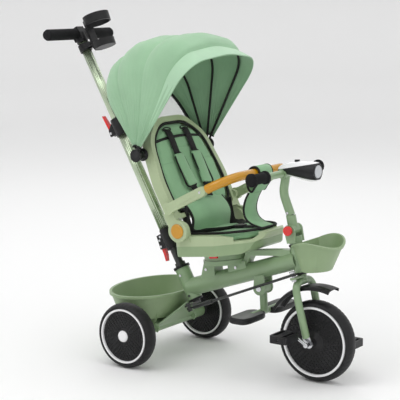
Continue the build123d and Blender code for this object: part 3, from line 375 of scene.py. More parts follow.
def turned_piece(name, centre, profile, finish, body, steps=64, relief=None):
    """Piece turned about a cross axis through a centre, from (y, radius) points in millimetres."""
    points, faces = [], []
    size = len(profile)
    for i in range(steps):
        turn = 2 * math.pi * i / steps
        for k, (y, radius) in enumerate(profile):
            r = radius + (relief(i, k) if relief else 0)
            points.append(centre + Vector((math.cos(turn) * r, y, math.sin(turn) * r)) * MM)
        j = (i + 1) % steps
        for k in range(size):
            n = (k + 1) % size
            faces.append((i * size + k, i * size + n, j * size + n, j * size + k))
    return make_piece(name, points, faces, finish, body)


print("makers ready")

# %% [markdown]
# ## Canopy
# The hood is one sheet of cloth, stretched from the fixed rear bow over three folding bows to a visor.
# It could be draped by simulation, but its shape comes from the bows and from the puffs that stand between
# them, so it is drawn as one curved sheet: every column is a section in a plane through the hinge.

# %% The canopy's one sheet
BOW_ANGLES = (-38, -20, 6, 26)
BOW_REACH = (292, 322, 348, 364)
BOW_HALF = (171, 178, 183.2, 188.4)
BOW_BENDS = (135, 120, 105, 95)
FIXED_BOW, FRONT_BOW = BOW_ANGLES[0], BOW_ANGLES[-1]
VISOR_ANGLE = 35
CROWN_DROP, CROWN_BEND = 27, 300
PUFFS = (18, 21, 25)
SIDE_GAP, TOP_GAP = 4.5, 5


def filleted(corners, bends, steps=10):
    """Line from the first corner to the last, with a round arc at each one between."""
    line = [corners[0]]
    for before, here, after, bend in zip(corners, corners[1:], corners[2:], bends):
        back, ahead = (before - here).normalized(), (after - here).normalized()
        half_turn = back.angle(ahead) / 2
        centre = here + (back + ahead).normalized() * bend / math.sin(half_turn)
        reach = bend / math.tan(half_turn)
        start, end = here + back * reach, here + ahead * reach
        for k in range(steps + 1):
            toward = start.lerp(end, k / steps) - centre
            line.append(centre + toward.normalized() * bend)
    return line + [corners[-1]]


def even_line(line, count):
    """The same line in equal steps."""
    runs = [(b - a).length for a, b in zip(line, line[1:])]
    total, spots, i, passed = sum(runs), [], 0, 0.0
    for k in range(count + 1):
        want = total * k / count
        while i < len(runs) - 1 and passed + runs[i] < want:
            passed += runs[i]
            i += 1
        spots.append(line[i].lerp(line[i + 1], min(1, (want - passed) / max(runs[i], 1e-6))))
    return spots


def arch(half, reach, bend, foot=32, count=72):
    """Outline of a bow in its own plane, as (y, distance from the hinge)."""
    corners = [Vector((-half, foot)), Vector((-half, reach - CROWN_DROP)), Vector((0, reach)),
               Vector((half, reach - CROWN_DROP)), Vector((half, foot))]
    return even_line(filleted(corners, (bend, CROWN_BEND, bend)), count)


def hood_point(angle, y, reach):
    """Point in the plane through the hinge that leans forward by an angle."""
    lean = math.radians(angle)
    return HOOD_HINGE + Vector((math.sin(lean) * reach, y, math.cos(lean) * reach)) * MM


def hood_section(angle):
    """One arch of the cloth: just over the bows, and puffed between them."""
    i = min(2, sum(angle >= a for a in BOW_ANGLES[1:]))
    t = (angle - BOW_ANGLES[i]) / (BOW_ANGLES[i + 1] - BOW_ANGLES[i])
    puff = PUFFS[i] * math.sin(math.pi * t) ** 0.55 if t < 1 else 0
    half, reach, bend = (sizes[i] + (sizes[i + 1] - sizes[i]) * t
                         for sizes in (BOW_HALF, BOW_REACH, BOW_BENDS))
    return arch(half + SIDE_GAP + 0.25 * puff, reach + TOP_GAP + puff, bend)


print("sections from", FIXED_BOW, "to", VISOR_ANGLE, "degrees")

# %% [markdown]
# Stretched cloth is never quite smooth: it gathers in small pleats towards the hinge, where the same length
# of cloth has less room, and ripples a little over the crown. Both are waves added to the sections.

# %% The sheet itself
COLUMNS = 74
PLEAT_DEPTH, PLEAT_FROM, PLEAT_TURN = 6.5, 0.35, 0.85
RIPPLE, RIPPLE_TURN = 1.2, 0.9
CLOTH_THICKNESS = 0.0012
sheet_points, sheet_faces = [], []
for column in range(COLUMNS + 1):
    angle = FIXED_BOW + (VISOR_ANGLE - FIXED_BOW) * column / COLUMNS
    section = hood_section(angle)
    for row, p in enumerate(section):
        low = abs(row / (len(section) - 1) - 0.5) * 2
        pleat = PLEAT_DEPTH * max(0, low - PLEAT_FROM) * math.sin(column * PLEAT_TURN)
        spread = math.copysign(pleat, p.x) if 0 < column < COLUMNS else 0
        hang = RIPPLE * math.sin(column * RIPPLE_TURN + row * 0.25) * (1 - low)
        sheet_points.append(hood_point(angle, p.x + spread, p.y + hang))
rows = len(section)
for column in range(COLUMNS):
    for row in range(rows - 1):
        a = column * rows + row
        sheet_faces.append((a, a + 1, a + rows + 1, a + rows))
canopy = make_piece("canopy_sheet", sheet_points, sheet_faces, canopy_cloth)
cloth_thickness = canopy.modifiers.new("cloth_thickness", "SOLIDIFY")
cloth_thickness.thickness = CLOTH_THICKNESS
cloth_thickness.offset = 1
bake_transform(canopy)
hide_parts("canopy_fabric")

# %% [markdown]
# The bows run in black sleeves sewn under the cloth, black tape binds the hood's two feet, and a thin hem
# edges its front. Each is a cord along a line that is already known. A sleeve rides on its own bow. A
# stepped black hub covers the hinge on each side.

# %% Sleeves, hem, foot tapes and hubs
SLEEVE_RADII = (5.2, 3.8, 3.8, 3.8)
HUB_RINGS = ((163, 158), (196, 200))


def bow_line(index):
    """Points along one bow."""
    return [hood_point(BOW_ANGLES[index], p.x, p.y)
            for p in arch(BOW_HALF[index], BOW_REACH[index], BOW_BENDS[index], 24, 40)]


for index, (body, node) in enumerate((("backrest", "canopy_mount"), ("bow_rear", "bow_rear"),
                                      ("bow_middle", "bow_middle"), ("bow_front", "bow_front"))):
    cord_piece(f"hood_sleeve_{index}", bow_line(index), SLEEVE_RADII[index], binding, body, steps=2)
edge = [hood_point(VISOR_ANGLE, p.x, p.y) for p in hood_section(VISOR_ANGLE)]
cord_piece("visor_hem", edge[::3], 1.3, canopy_cloth, "bow_front", steps=3, around=8)
for side, row in ((-1, 0), (1, rows - 1)):
    foot = [sheet_points[column * rows + row] for column in range(0, COLUMNS + 1, 2)]
    foot_tape = cord_piece(f"hood_foot_{side + 2}", foot, 3.0, binding, steps=2)
    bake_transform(foot_tape)
    for inner, outer in HUB_RINGS:
        shoulder = inner * 0.3 + outer * 0.7
        rim = [(side * inner, 0), (side * inner, 20), (side * shoulder, 20), (side * outer, 17),
               (side * outer, 0)]
        turned_piece(f"hood_hub_{side + 2}_{inner}", HOOD_HINGE, rim, black_plastic,
                     "backrest", 32)
print("sleeves:", len(SLEEVE_RADII))

# %% [markdown]
# The visor is a paler band sewn over the hood's front edge. It takes the hood's own sections between the
# front bow and the edge, set out by the thickness of both cloths, so it can't drift away from the hood.

# %% Visor band and its seam
VISOR_STEPS, VISOR_LIFT = 8, 2.4
visor_points, visor_faces = [], []
for step in range(VISOR_STEPS + 1):
    angle = FRONT_BOW + (VISOR_ANGLE - FRONT_BOW) * step / VISOR_STEPS
    for p in hood_section(angle):
        outward = Vector((p.x, max(0, p.y - 200))).normalized() * VISOR_LIFT
        visor_points.append(hood_point(angle, p.x + outward.x, p.y + outward.y))
for step in range(VISOR_STEPS):
    for row in range(rows - 1):
        a = step * rows + row
        visor_faces.append((a, a + 1, a + rows + 1, a + rows))
visor = make_piece("visor_band", visor_points, visor_faces, visor_cloth, "bow_front")
cord_piece("visor_seam", visor_points[2:rows - 2:2], 0.9, liner_cloth, "bow_front",
           steps=2, around=6)

# %% [markdown]
# A net window closes the hood's rear, between the fixed bow and the top of the backrest. It is a light
# sheet, so it is one grid stretched from the bow down to the shell's edge, with a little sag backward.

# %% The net window
def shell_top(y):
    """Rise of the backrest's edge at a distance from its middle."""
    y = abs(y)
    return 366 - 0.00004 * y ** 2.8 if y < 150 else 296 - (y - 150) * 1.2


def bow_reach_at(y):
    """Reach of the fixed bow at a distance from the middle."""
    outline = arch(BOW_HALF[0], BOW_REACH[0], BOW_BENDS[0])
    return min(outline, key=lambda p: abs(p.x - y)).y


NET_HALF, NET_COLUMNS, NET_ROWS, NET_SAG = 160, 40, 14, 9


def window_foot(y):
    """Point where the net is sewn along the shell's back edge."""
    return on_back(y, shell_top(y) - 3, -27)


net_points, net_faces = [], []
for i in range(NET_COLUMNS + 1):
    y = -NET_HALF + 2 * NET_HALF * i / NET_COLUMNS
    foot = window_foot(y)
    head = hood_point(FIXED_BOW, y, bow_reach_at(y) - 2)
    for k in range(NET_ROWS + 1):
        t = k / NET_ROWS
        sag = math.sin(math.pi * t) * NET_SAG * (1 - (y / NET_HALF) ** 2)
        net_points.append(foot.lerp(head, t) - out_from(-FIXED_BOW) * sag * MM)
for i in range(NET_COLUMNS):
    for k in range(NET_ROWS):
        a = i * (NET_ROWS + 1) + k
        net_faces.append((a, a + 1, a + NET_ROWS + 2, a + NET_ROWS + 1))
window = make_piece("hood_window", net_points, net_faces, netting, "backrest")
foot_line = [window_foot(y) for y in range(-NET_HALF, NET_HALF + 1, 20)]
cord_piece("window_foot_binding", foot_line, 3.4, binding, "backrest", steps=3)

# %% [markdown]
# ## Padding
# The liner is thin foam between two layers of cloth, sewn through along its channels. Each pad starts as
# a flat slab cut to its outline, is remeshed evenly and blown up a little with cloth pressure. The sewn
# channels are pressed in afterwards, because the remesh would erase them.

# %% Cut a slab, and fill a shape with air
PRESSURE, FILLING_FRAMES = 4, 20


def slab_faces(count):
    """Faces of a slab whose points are a lower outline and then an upper one."""
    sides = [(i, (i + 1) % count, (i + 1) % count + count, i + count) for i in range(count)]
    return [tuple(range(count)), tuple(range(count, 2 * count))] + sides


def settle(piece):
    """Apply a piece's modifiers to its mesh."""
    bpy.context.view_layer.update()
    seen = piece.evaluated_get(bpy.context.evaluated_depsgraph_get())
    mesh = bpy.data.meshes.new_from_object(seen)
    piece.modifiers.clear()
    piece.data = mesh


def blow_up(pad):
    """Where the pad's points go when it is filled with air."""
    cloth = pad.modifiers.new("filling", "CLOTH")
    cloth.settings.use_pressure = True
    cloth.settings.uniform_pressure_force = PRESSURE
    cloth.settings.effector_weights.gravity = 0
    scene = bpy.context.scene
    for frame_number in range(1, FILLING_FRAMES + 1):
        scene.frame_set(frame_number)
    seen = pad.evaluated_get(bpy.context.evaluated_depsgraph_get())
    points = [v.co.copy() for v in seen.data.vertices]
    pad.modifiers.clear()
    scene.frame_set(1)
    return points


def rounded(corners, radius, steps=6):
    """Outline with round corners, from (u, v) corners."""
    outline = []
    for i, corner in enumerate(corners):
        here, before = Vector(corner), Vector(corners[i - 1])
        after = Vector(corners[(i + 1) % len(corners)])
        reach = min(radius, (before - here).length * 0.48, (after - here).length * 0.48)
        a = here + (before - here).normalized() * reach
        b = here + (after - here).normalized() * reach
        for k in range(steps + 1):
            t = k / steps
            outline.append(tuple(a.lerp(here, t).lerp(here.lerp(b, t), t)))
    return outline


print("slabs can be cut and filled")

# %% [markdown]
# Air pushes a slab out everywhere, also into the shell behind it. So a point keeps its move only where it
# faces the child, up to a cap, and keeps hardly any move sideways. A channel is a soft groove along a line,
# as deep as the thread pulls the foam in.

# %% Swell a pad and press its channels
SIDE_CAP, CHANNEL_WIDTH, MIDDLE = 1.2, 3.6, 0.5


def swell(pad, normal, base, thick, cap):
    """Move the pad's upper half out as air would, up to the cap, in millimetres."""
    rest = [v.co.copy() for v in pad.data.vertices]
    blown = blow_up(pad)
    for vertex, p, q in zip(pad.data.vertices, rest, blown):
        height = (p - base).dot(normal) / (thick * MM)
        move = q - p
        rise = max(0.0, min(move.dot(normal), cap * MM)) if height > MIDDLE else 0.0
        side = move - normal * move.dot(normal)
        side = side * min(1.0, SIDE_CAP * MM / side.length) if side.length > 0 else side
        vertex.co = p + normal * rise + side


def channel_depth(spot, seams):
    """How deep the nearest channels press at a spot, in millimetres."""
    depth = 0.0
    for start, end, size in seams:
        start, run = Vector(start), Vector(end) - Vector(start)
        t = max(0, min(1, (spot - start).dot(run) / run.length_squared))
        gap = (spot - start - run * t).length
        depth = max(depth, size * math.exp(-(gap / CHANNEL_WIDTH) ** 2))
    return depth


def pad_piece(name, outline, low, high, spot, seams, cloth, cap=7.0, voxel=5.0):
    """Padded piece over an outline. spot(u, v, w) places a point; seams are lines in u and v."""
    points = [spot(u, v, low) for u, v in outline] + [spot(u, v, high) for u, v in outline]
    pad = make_piece(name, points, slab_faces(len(outline)), cloth)
    even = pad.modifiers.new("even_mesh", "REMESH")
    even.mode = "VOXEL"
    even.voxel_size = voxel * MM
    settle(pad)
    origin, base = spot(0, 0, 0), spot(0, 0, low)
    normal = (spot(0, 0, 1) - origin).normalized()
    swell(pad, normal, base, high - low, cap)
    rounder = pad.modifiers.new("finer", "SUBSURF")
    rounder.levels = 1
    settle(pad)
    along_u, along_v = spot(1, 0, 0) - origin, spot(0, 1, 0) - origin
    for vertex in pad.data.vertices:
        if (vertex.co - base).dot(normal) / ((high - low) * MM) < MIDDLE - 0.05:
            continue
        u = (vertex.co - origin).dot(along_u) / along_u.length_squared
        v = (vertex.co - origin).dot(along_v) / along_v.length_squared
        vertex.co -= normal * channel_depth(Vector((u, v)), seams) * MM
    for face in pad.data.polygons:
        face.use_smooth = True
    return pad


print("pad maker ready")

# %% [markdown]
# The backrest's liner fills the shell's hollow. Two long channels divide its middle from the bolsters, and
# short ones cross it where the child bends. Black piping closes its rim.

# %% The backrest's liner
BACK_PAD = rounded([(-143, 57), (-152, 160), (-130, 288), (-62, 343),
                    (62, 343), (130, 288), (152, 160), (143, 57)], 60)
BACK_SEAMS = [((-70, 70), (-62, 330), 3.0), ((70, 70), (62, 330), 3.0), ((-62, 262), (62, 262), 2.4),
              ((-150, 215), (-68, 215), 2.0), ((68, 215), (150, 215), 2.0), ((-60, 120), (60, 120), 2.2),
              ((-60, 306), (60, 306), 2.6)]
back_liner = pad_piece("backrest_liner", BACK_PAD, -16, 4, on_back, BACK_SEAMS, liner_cloth)
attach(back_liner, "backrest")
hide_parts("backrest_cushion")
back_edge = [on_back(u * 1.012, 200 + (v - 200) * 1.012, 9) for u, v in BACK_PAD]
cord_piece("backrest_piping", back_edge, 4.2, binding, "backrest", closed=True, steps=2)
print("backrest liner points:", len(back_liner.data.vertices))

# %% [markdown]
# The seat's liner is made in the same way, in the seat's own leaning plane. The pan dips where the child
# sits and lifts towards the nose, so the helper that places its points dips with it.

# %% The seat's liner
SEAT_PAD = rounded([(-58, -119), (66, -119), (124, -92), (164, -44),
                    (164, 44), (124, 92), (66, 119), (-58, 119)], 40)
SEAT_SEAMS = [((-40, -62), (130, -62), 2.6), ((-40, 62), (130, 62), 2.6), ((60, -110), (60, 110), 2.2)]


def over_seat(u, v, w):
    """Point over the seat: the pan dips in the middle and lifts at the nose."""
    dip = 4 * math.sin(math.pi * max(0, min(1, (u + 60) / 240)))
    return on_seat(v, u, w - dip)


seat_liner = pad_piece("seat_liner", SEAT_PAD, 88, 106, over_seat, SEAT_SEAMS, liner_cloth,
                       cap=6)
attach(seat_liner, "seat")
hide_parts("seat_cushion")
seat_edge = [on_seat(v * 1.03, u * 1.03, 110) for u, v in SEAT_PAD]
cord_piece("seat_piping", seat_edge, 4.2, binding, "seat", closed=True, steps=2)
print("seat liner points:", len(seat_liner.data.vertices))

# %% [markdown]
# Behind the child's hips the liner runs on from the backrest into the seat. That stretch crosses the
# recline hinge, so it is a soft curved band of its own, drawn from the one to the other.

# %% The liner's bend at the hips
HIP_WIDTH = 204
hip_points = [on_back(0, 92, 0), on_back(0, 70, 11), on_back(0, 44, 19), on_back(0, 18, 17),
              on_seat(0, -46, 110), on_seat(0, -24, 103), on_seat(0, 6, 98)]
hip_band = band_piece("hip_liner", hip_points, HIP_WIDTH, 9, liner_cloth)
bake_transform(hip_band)
for side in (-1, 1):
    shift = Vector((0, side * (HIP_WIDTH / 2 + 1) * MM, 0))
    hem = cord_piece(f"hip_binding_{side + 2}", [p + shift for p in hip_points], 4.2, binding)
    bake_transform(hem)
print("hip band ready")

# %% [markdown]
# ## Harness
# Five-point harness: two shoulder straps through the backrest, each with a soft pad, two lap straps, and a
# buckle. Webbing is flat and thin, so it is swept directly along the way it lies on the liner. The straps
# come out of bound slots near the backrest's top.

# %% Shoulder straps, their pads and slots
STRAP_Y = 46
PAD_RIM = [(-1, 130, 23), (-1, 170, 21.5), (-1, 205, 20.5), (-0.8, 232, 19.5), (0, 242, 19),
           (0.8, 232, 19.5), (1, 205, 20.5), (1, 170, 21.5), (1, 130, 23), (0, 122, 23.5)]
SLOT_TURNS = [2 * math.pi * k / 12 for k in range(12)]
for side, name in ((-1, "right"), (1, "left")):
    y = side * STRAP_Y
    run = [on_back(y, 324, 9), on_back(y, 304, 17), on_back(y, 230, 17), on_back(side * 40, 150, 18),
           on_back(side * 26, 84, 21)]
    strap = band_piece(f"shoulder_strap_{name}", run, 30, 2.2, webbing, "backrest")
    if side < 0:
        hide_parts("harness_straps")
    pad_run = [on_back(y, 236, 19), on_back(side * 45, 205, 20.5), on_back(side * 43, 170, 21.5),
               on_back(side * 38, 128, 23)]
    shoulder_pad = band_piece(f"shoulder_pad_{name}", pad_run, 48, 7, liner_cloth,
                              "backrest")
    rim = [on_back(side * (STRAP_Y + 24 * outward), rise, out) for outward, rise, out in PAD_RIM]
    cord_piece(f"shoulder_pad_piping_{name}", rim, 2.6, binding, "backrest",
               closed=True, steps=4)
    slot_rim = [on_back(y + 20 * math.cos(t), 322 + 6 * math.sin(t), 12.5) for t in SLOT_TURNS]
    cord_piece(f"strap_slot_{name}", slot_rim, 2.0, binding, "backrest",
               closed=True, steps=2)
head_tape = [on_back(y, 296 - 0.0006 * y * y, 13 - 0.0002 * y * y) for y in range(-124, 125, 31)]
band_piece("head_tape", head_tape, 9, 2.4, binding, "backrest",
           side=up_along(BACK_LEAN))
print("shoulder straps ready")

# %% [markdown]
# The lap straps start on the backrest's sides and meet at the buckle on the seat, so they cross the recline
# hinge. The buckle is a six-sided slab with its edges rounded off.

# %% Lap straps, buckle and the webbing below it
for side, name in ((-1, "right"), (1, "left")):
    lap = [on_back(side * 122, 64, 14), on_seat(side * 114, -42, 116), on_seat(side * 92, 0, 114),
           on_seat(side * 54, 36, 113), on_seat(side * 22, 52, 114)]
    strap = band_piece(f"lap_strap_{name}", lap, 28, 2.6, webbing, side=(0.8, 0, 0.6))
    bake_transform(strap)
buckle_spots = rounded([(-20, -18), (20, -18), (22, 10), (10, 22), (-10, 22), (-22, 10)], 8)
buckle_points = [on_seat(v, 62 + u, rise) for rise in (110, 119) for u, v in buckle_spots]
buckle = make_piece("harness_buckle", buckle_points, slab_faces(len(buckle_spots)), black_plastic,
                    "seat", smooth=False)
soften = buckle.modifiers.new("soft_edges", "BEVEL")
soften.width = 0.003
soften.segments = 3
leg_run = [on_seat(0, 74, 113), on_seat(0, 96, 113), on_seat(0, 120, 112)]
band_piece("leg_strap_webbing", leg_run, 34, 2.4, webbing, "seat")
print("harness ready")

# %% [markdown]
# ## Bumper bar
# A padded strap wraps the bar's middle in a loose loop, comes together below it, and runs down between the
# child's legs to a stud on the seat's nose. The loop goes with the bar. The lower strap crosses the recline
# hinge.

# %% The wrap on the bar and the strap below it
BAR_MIDDLE = on_bar(236, 0)


def beside_bar(x, z):
    """Point so far forward of the bar's middle, and above it."""
    return BAR_MIDDLE + Vector((x, 0, z)) * MM


STRAP_WIDTH = 70
LOOP = [(0, 19), (14, 14), (20, -2), (15, -24), (2, -44), (-9, -58), (-21, -50), (-27, -28), (-24, -4),
        (-14, 13)]
loop = [beside_bar(x, z) for x, z in LOOP]
wrap = band_piece("bar_wrap", loop, STRAP_WIDTH, 5, liner_cloth, "bumper", closed=True)
strap_run = [at(338, 0, 560), at(326, 0, 536), at(320, 0, 506), at(328, 0, 480), at(350, 0, 465),
             at(386, 0, 457)]
leg_strap = band_piece("leg_strap", strap_run, STRAP_WIDTH, 6, liner_cloth)
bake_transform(leg_strap)
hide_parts("crotch_strap")
for side in (-1, 1):
    shift = Vector((0, side * STRAP_WIDTH / 2 * MM, 0))
    cord_piece(f"wrap_binding_{side + 2}", [p + shift for p in loop], 3.4, binding,
               "bumper", closed=True)
    hem = cord_piece(f"leg_strap_binding_{side + 2}", [p + shift for p in strap_run], 3.4, binding)
    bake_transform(hem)
print("bar wrap ready")

# %% [markdown]
# ## Wheels
# The black discs carry rings of small moulded pads that grow towards the rim. They are pads standing on the
# disc, so they are geometry: one mesh for each wheel face.

# %% Moulded pads for one face of a disc
REAR_TRACK, REAR_RADIUS = 211, 103
FRONT_STATION, FRONT_RADIUS = 564, 125
PAD_STEPS = ((1.0, 0.0), (0.9, 0.8), (0.62, 1.0))
PAD_CORNERS = ((-1, -1), (1, -1), (1, 1), (-1, 1))


def disc_pads(name, centre, rings, face_y, side, body, tall=2.2):
    """Rings of small raised pads on one face of a disc."""
    points, faces = [], []
    for number, (radius, count, length, width) in enumerate(rings):
        for k in range(count):
            turn = 2 * math.pi * (k + 0.5 * (number % 2)) / count
            outward = Vector((math.cos(turn), 0, math.sin(turn)))
            across = Vector((-math.sin(turn), 0, math.cos(turn)))
            first = len(points)
            for scale, lift in PAD_STEPS:
                for a, b in PAD_CORNERS:
                    far, aside = radius + a * length / 2 * scale, b * width / 2 * scale
                    spot = centre + (outward * far + across * aside) * MM
                    spot.y = centre.y + side * (face_y(radius) + tall * lift - 0.2) * MM
                    points.append(spot)
            for level in (first, first + 4):
                for i in range(4):
                    n = (i + 1) % 4
                    faces.append((level + i, level + n, level + 4 + n, level + 4 + i))
            faces.append(tuple(first + 8 + i for i in range(4)))
            faces.append(tuple(first + 3 - i for i in range(4)))
    return make_piece(name, points, faces, black_plastic, body)


print("pad corners:", len(PAD_CORNERS) * len(PAD_STEPS))

# %% [markdown]
# A disc is dished, so how far its face stands out depends on the radius. The rings are spaced evenly, and
# each ring further out holds four more pads, a little wider, so that the pads stay about as far apart.

# %% Pads on the three wheels
def rear_face(radius):
    """How far a rear disc's face stands out from the wheel's middle."""
    return 19 - 2 * (radius - 24) / 56


def front_face(radius):
    """How far the front disc's face stands out from the wheel's middle."""
    return 18 - (radius - 30) / 70


REAR_RINGS = [(28 + 7.4 * n, 18 + 4 * n, 5.6, 4.6 + 0.5 * n) for n in range(7)]
FRONT_RINGS = [(38 + 8.4 * n, 22 + 4 * n, 6.4, 5.0 + 0.5 * n) for n in range(8)]
for side, name in ((-1, "right"), (1, "left")):
    hub = at(0, side * REAR_TRACK, REAR_RADIUS)
    for face in (-1, 1):
        disc_pads(f"rear_pads_{name}_{face + 2}", hub, REAR_RINGS, rear_face, face,
                  f"rear_wheel_{name}")
front_hub = at(FRONT_STATION, 0, FRONT_RADIUS)
for face in (-1, 1):
    disc_pads(f"front_pads_{face + 2}", front_hub, FRONT_RINGS, front_face, face,
              "front_wheel")
print("pads on a rear face:", sum(r[1] for r in REAR_RINGS))

# %% [markdown]
# The tyres are foamed rubber with a round shoulder and shallow grooves across the tread. They are turned
# from a rounder profile than the solid's, and every fourth section dips a little to cut the grooves.

# %% Tyres
CROWN, GROOVE_DEPTH = 13, 1.1


def tyre_piece(name, centre, radius, rim, width, slot, body, grooves):
    """Tyre with a round crown and so many grooves across its tread."""
    half = width / 2
    turns = [math.radians(-90 + 9 * k) for k in range(21)]
    crown = [(math.sin(a) * half, radius - CROWN + math.cos(a) * CROWN) for a in turns]
    profile = [(-half + 3, rim + 0.3), (-half, rim + 3)] + crown + [(half, rim + 3), (half - 3, rim + 0.3)]
    middle = len(profile) // 2

    def groove(i, k):
        on_tread = 5 < k < len(profile) - 6 and abs(k - middle) > 2
        return -GROOVE_DEPTH if i % 4 == 0 and on_tread else 0
    tyre = turned_piece(name, centre, profile, tread_rubber, body, grooves * 4, groove)
    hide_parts(slot)
    return tyre


for side, name in ((-1, "right"), (1, "left")):
    tyre_piece(f"tyre_{name}", at(0, side * REAR_TRACK, REAR_RADIUS), REAR_RADIUS, 87, 50,
               f"rear_tyre_{name}", f"rear_wheel_{name}", 44)
front = tyre_piece("tyre_front", front_hub, FRONT_RADIUS, 108, 52, "front_tyre", "front_wheel", 54)
print("tyre sections:", len(front.data.vertices))

# %% [markdown]
# ## Push handle tubes
# The telescopic tubes are fluted, which is why they show long bright and dark lines. A noise can't
# draw straight flutes, so the tubes are swept with a scalloped section.

# %% Fluted tubes
FLUTES, FLUTE_DEPTH = 14, 1.0


def fluted_piece(name, low, high, radius, slot, body):
    """Fluted tube along the push handle, from one height to another."""
    ends = [place(PUSH_FOOT, PUSH_LEAN, low), place(PUSH_FOOT, PUSH_LEAN, high)]
    over, across = out_from(PUSH_LEAN), Vector((0, 1, 0))
    around = FLUTES * 8

    def ring(i):
        spots = []
        for k in range(around):
            turn = 2 * math.pi * k / around
            r = radius - FLUTE_DEPTH * (0.5 + 0.5 * math.cos(FLUTES * turn)) ** 3
            spots.append(ends[i] + (over * math.cos(turn) + across * math.sin(turn)) * r * MM)
        return spots
    tube = sweep(name, ends, ring, lacquer, body)
    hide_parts(slot)


fluted_piece("fluted_tube_upper", 400, 830, 16, "push_tube_upper", "push_handle")
fluted_piece("fluted_tube_lower", 140, 530, 18, "push_tube_lower", "push_post")
print("tubes ready")

# %% [markdown]
# ## Small trim
# Screw heads and the footrest's grey anti-slip tops are what make the tricycle look assembled. A screw is
# one turned profile with a domed head, placed on each part that it holds, and rides with that part.

# %% Screws
def screw(name, spot, side, body, size=4.6):
    """Domed screw facing sideways, with a ring groove in its head."""
    head = [(0, 0.0), (side * 2.4, 0.0), (side * 2.6, size * 0.18), (side * 1.6, size * 0.2),
            (side * 1.6, size * 0.3), (side * 2.3, size * 0.45), (side * 1.6, size * 0.8),
            (side * 0.4, size), (0, size)]
    return turned_piece(name, spot, head, plated, body, 20)


screw_spots = [("socket", place(PUSH_FOOT, PUSH_LEAN, -22, 0, -24), "frame", "frame_hardware"),
               ("clamp_a", place(PUSH_FOOT, PUSH_LEAN, 122, -22, -13), "push_post", "tube_clamps"),
               ("clamp_b", place(PUSH_FOOT, PUSH_LEAN, 92, -34, -13), "push_post", "tube_clamps"),
               ("clamp_c", place(PUSH_FOOT, PUSH_LEAN, 112, -30, -13), "push_post", "tube_clamps"),
               ("upper_clamp", place(PUSH_FOOT, PUSH_LEAN, 502, -36, -13), "push_post", "tube_clamps"),
               ("stem", at(463, -15, 507), "handlebar", "handlebar"),
               ("arm", on_bar(132, -193), "bumper", "bumper_bar"),
               ("basket_a", at(-8, -108, 126), "frame", "frame_hardware"),
               ("basket_b", at(30, -101, 112), "frame", "frame_hardware")]
for name, spot, body, slot in screw_spots:
    screw(f"screw_{name}", spot, -1, body)
print("screws:", len(screw_spots))

# %% [markdown]
# Each footrest is a shallow black tray with a grey rubber top. The tray is the same outline stacked at a
# few heights and scales, which rounds its lip, and the top is a thin slab set into it.

# %% Footrest pads
PAD_OUTLINE = [(-33, -52), (-22, -67), (22, -66), (33, -40), (33, 46), (22, 66), (-18, 68), (-33, 50)]
TRAY_LEVELS = ((0.9, 0), (1.0, 4), (1.0, 16), (0.96, 19.6), (0.9, 19.6), (0.88, 18.2))
for side in (-1, 1):
    centre = at(372, side * 90, 178)
    outline = rounded(PAD_OUTLINE, 16)
    count = len(outline)
    points, faces = [], []
    for scale, height in TRAY_LEVELS:
        points += [centre + Vector((u * scale, v * scale, height)) * MM for u, v in outline]
    for level in range(0, 5 * count, count):
        for i in range(count):
            n = (i + 1) % count
            faces.append((level + i, level + n, level + count + n, level + count + i))
    faces += [tuple(range(count)), tuple(range(5 * count, 6 * count))]
    tray = make_piece(f"footrest_pad_{side + 2}", points, faces, black_plastic,
                      "footrest")
    if side < 0:
        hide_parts("footrest_pads")
    top = [centre + Vector((u * 0.87, v * 0.87, 18.2)) * MM for u, v in outline]
    cap = [p + Vector((0, 0, 1.5 * MM)) for p in top]
    make_piece(f"footrest_grip_{side + 2}", top + cap, slab_faces(count), anti_slip,
               "footrest")
print("footrest pads ready")

# %% [markdown]
# ## Studio
# A round pale bowl serves as floor and backdrop from every side. A plain floor would show its edge when the
# tricycle is seen from behind. The bowl is a rim profile turned round, with a fan of faces in its middle.

# %% The bowl
BOWL_SIDES = 64
BOWL = [(0.5, 0.0), (2.0, 0.0), (5.0, 0.0), (7.5, 0.02), (8.6, 0.35), (9.3, 1.1), (9.6, 2.5), (9.6, 7.0)]
bowl_points, bowl_faces = [Vector((0, 0, 0))], []
size = len(BOWL)
for i in range(BOWL_SIDES):
    turn = 2 * math.pi * i / BOWL_SIDES
    bowl_points += [Vector((r * math.cos(turn), r * math.sin(turn), z)) for r, z in BOWL]
    here, there = 1 + i * size, 1 + (i + 1) % BOWL_SIDES * size
    bowl_faces.append((0, here, there))
    bowl_faces += [(here + k, here + k + 1, there + k + 1, there + k) for k in range(size - 1)]
studio_white = finish_of("studio_white", (0.93, 0.93, 0.93), 0.95, 0.0)
bowl_mesh = bpy.data.meshes.new("studio_bowl")
bowl_mesh.from_pydata([tuple(p) for p in bowl_points], [], bowl_faces)
bowl_mesh.materials.append(studio_white)
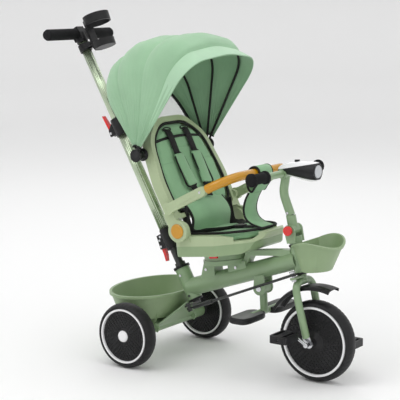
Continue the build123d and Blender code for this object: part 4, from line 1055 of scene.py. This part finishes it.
for face in bowl_mesh.polygons:
    face.use_smooth = True
bowl = bpy.data.objects.new("studio_bowl", bowl_mesh)
bpy.context.scene.collection.objects.link(bowl)
print("bowl faces:", len(bowl_mesh.polygons))

# %% [markdown]
# Four large soft lights and a bright sky keep the shadows weak, as on a product page. The key light stands
# on the tricycle's right, where it shows the wheels' pads and the hood's puffs best.

# %% Sky and lights
world = bpy.data.worlds.new("bright_sky")
world.use_nodes = True
world.node_tree.nodes["Background"].inputs["Color"].default_value = (1, 1, 1, 1)
world.node_tree.nodes["Background"].inputs["Strength"].default_value = 0.84
bpy.context.scene.world = world
TARGET = Vector((0, 0, 0.5))
LAMPS = [("key", (-1.2, -3.2, 4.2), 2.6, 42), ("fill", (3.6, -0.6, 2.6), 2.2, 12),
         ("rim", (-1.8, 3.0, 3.4), 2.4, 18), ("overhead", (0.2, 0.0, 4.8), 3.2, 34)]
for name, spot, size, power in LAMPS:
    light = bpy.data.lights.new(name, "AREA")
    light.size = size
    light.energy = power
    lamp = bpy.data.objects.new(name, light)
    lamp.location = spot
    lamp.rotation_mode = "QUATERNION"
    lamp.rotation_quaternion = (TARGET - Vector(spot)).to_track_quat("-Z", "Y")
    bpy.context.scene.collection.objects.link(lamp)
print("lamps:", len(LAMPS))

# %% [markdown]
# The camera stands well back with a long lens, so the near wheel doesn't swell. It looks down a little from
# the tricycle's front right, the side that shows the seat, the pod and the push handle at once.

# %% Camera
lens = bpy.data.cameras.new("studio_camera")
lens.lens = 114.16
lens.sensor_width = 36
lens.shift_x = -0.0047
camera = bpy.data.objects.new("studio_camera", lens)
toward_camera = Vector((0.5676, -0.8077, 0.1592))
camera.location = Vector((2.2601, -3.2386, 1.1548))
camera.rotation_mode = "QUATERNION"
camera.rotation_quaternion = (-toward_camera).to_track_quat("-Z", "Y") @ Quaternion((0, 0, 1), -0.0032)
bpy.context.scene.collection.objects.link(camera)
bpy.context.scene.camera = camera
bpy.context.scene.view_settings.view_transform = "Standard"
print("camera at", [round(v, 3) for v in camera.location])
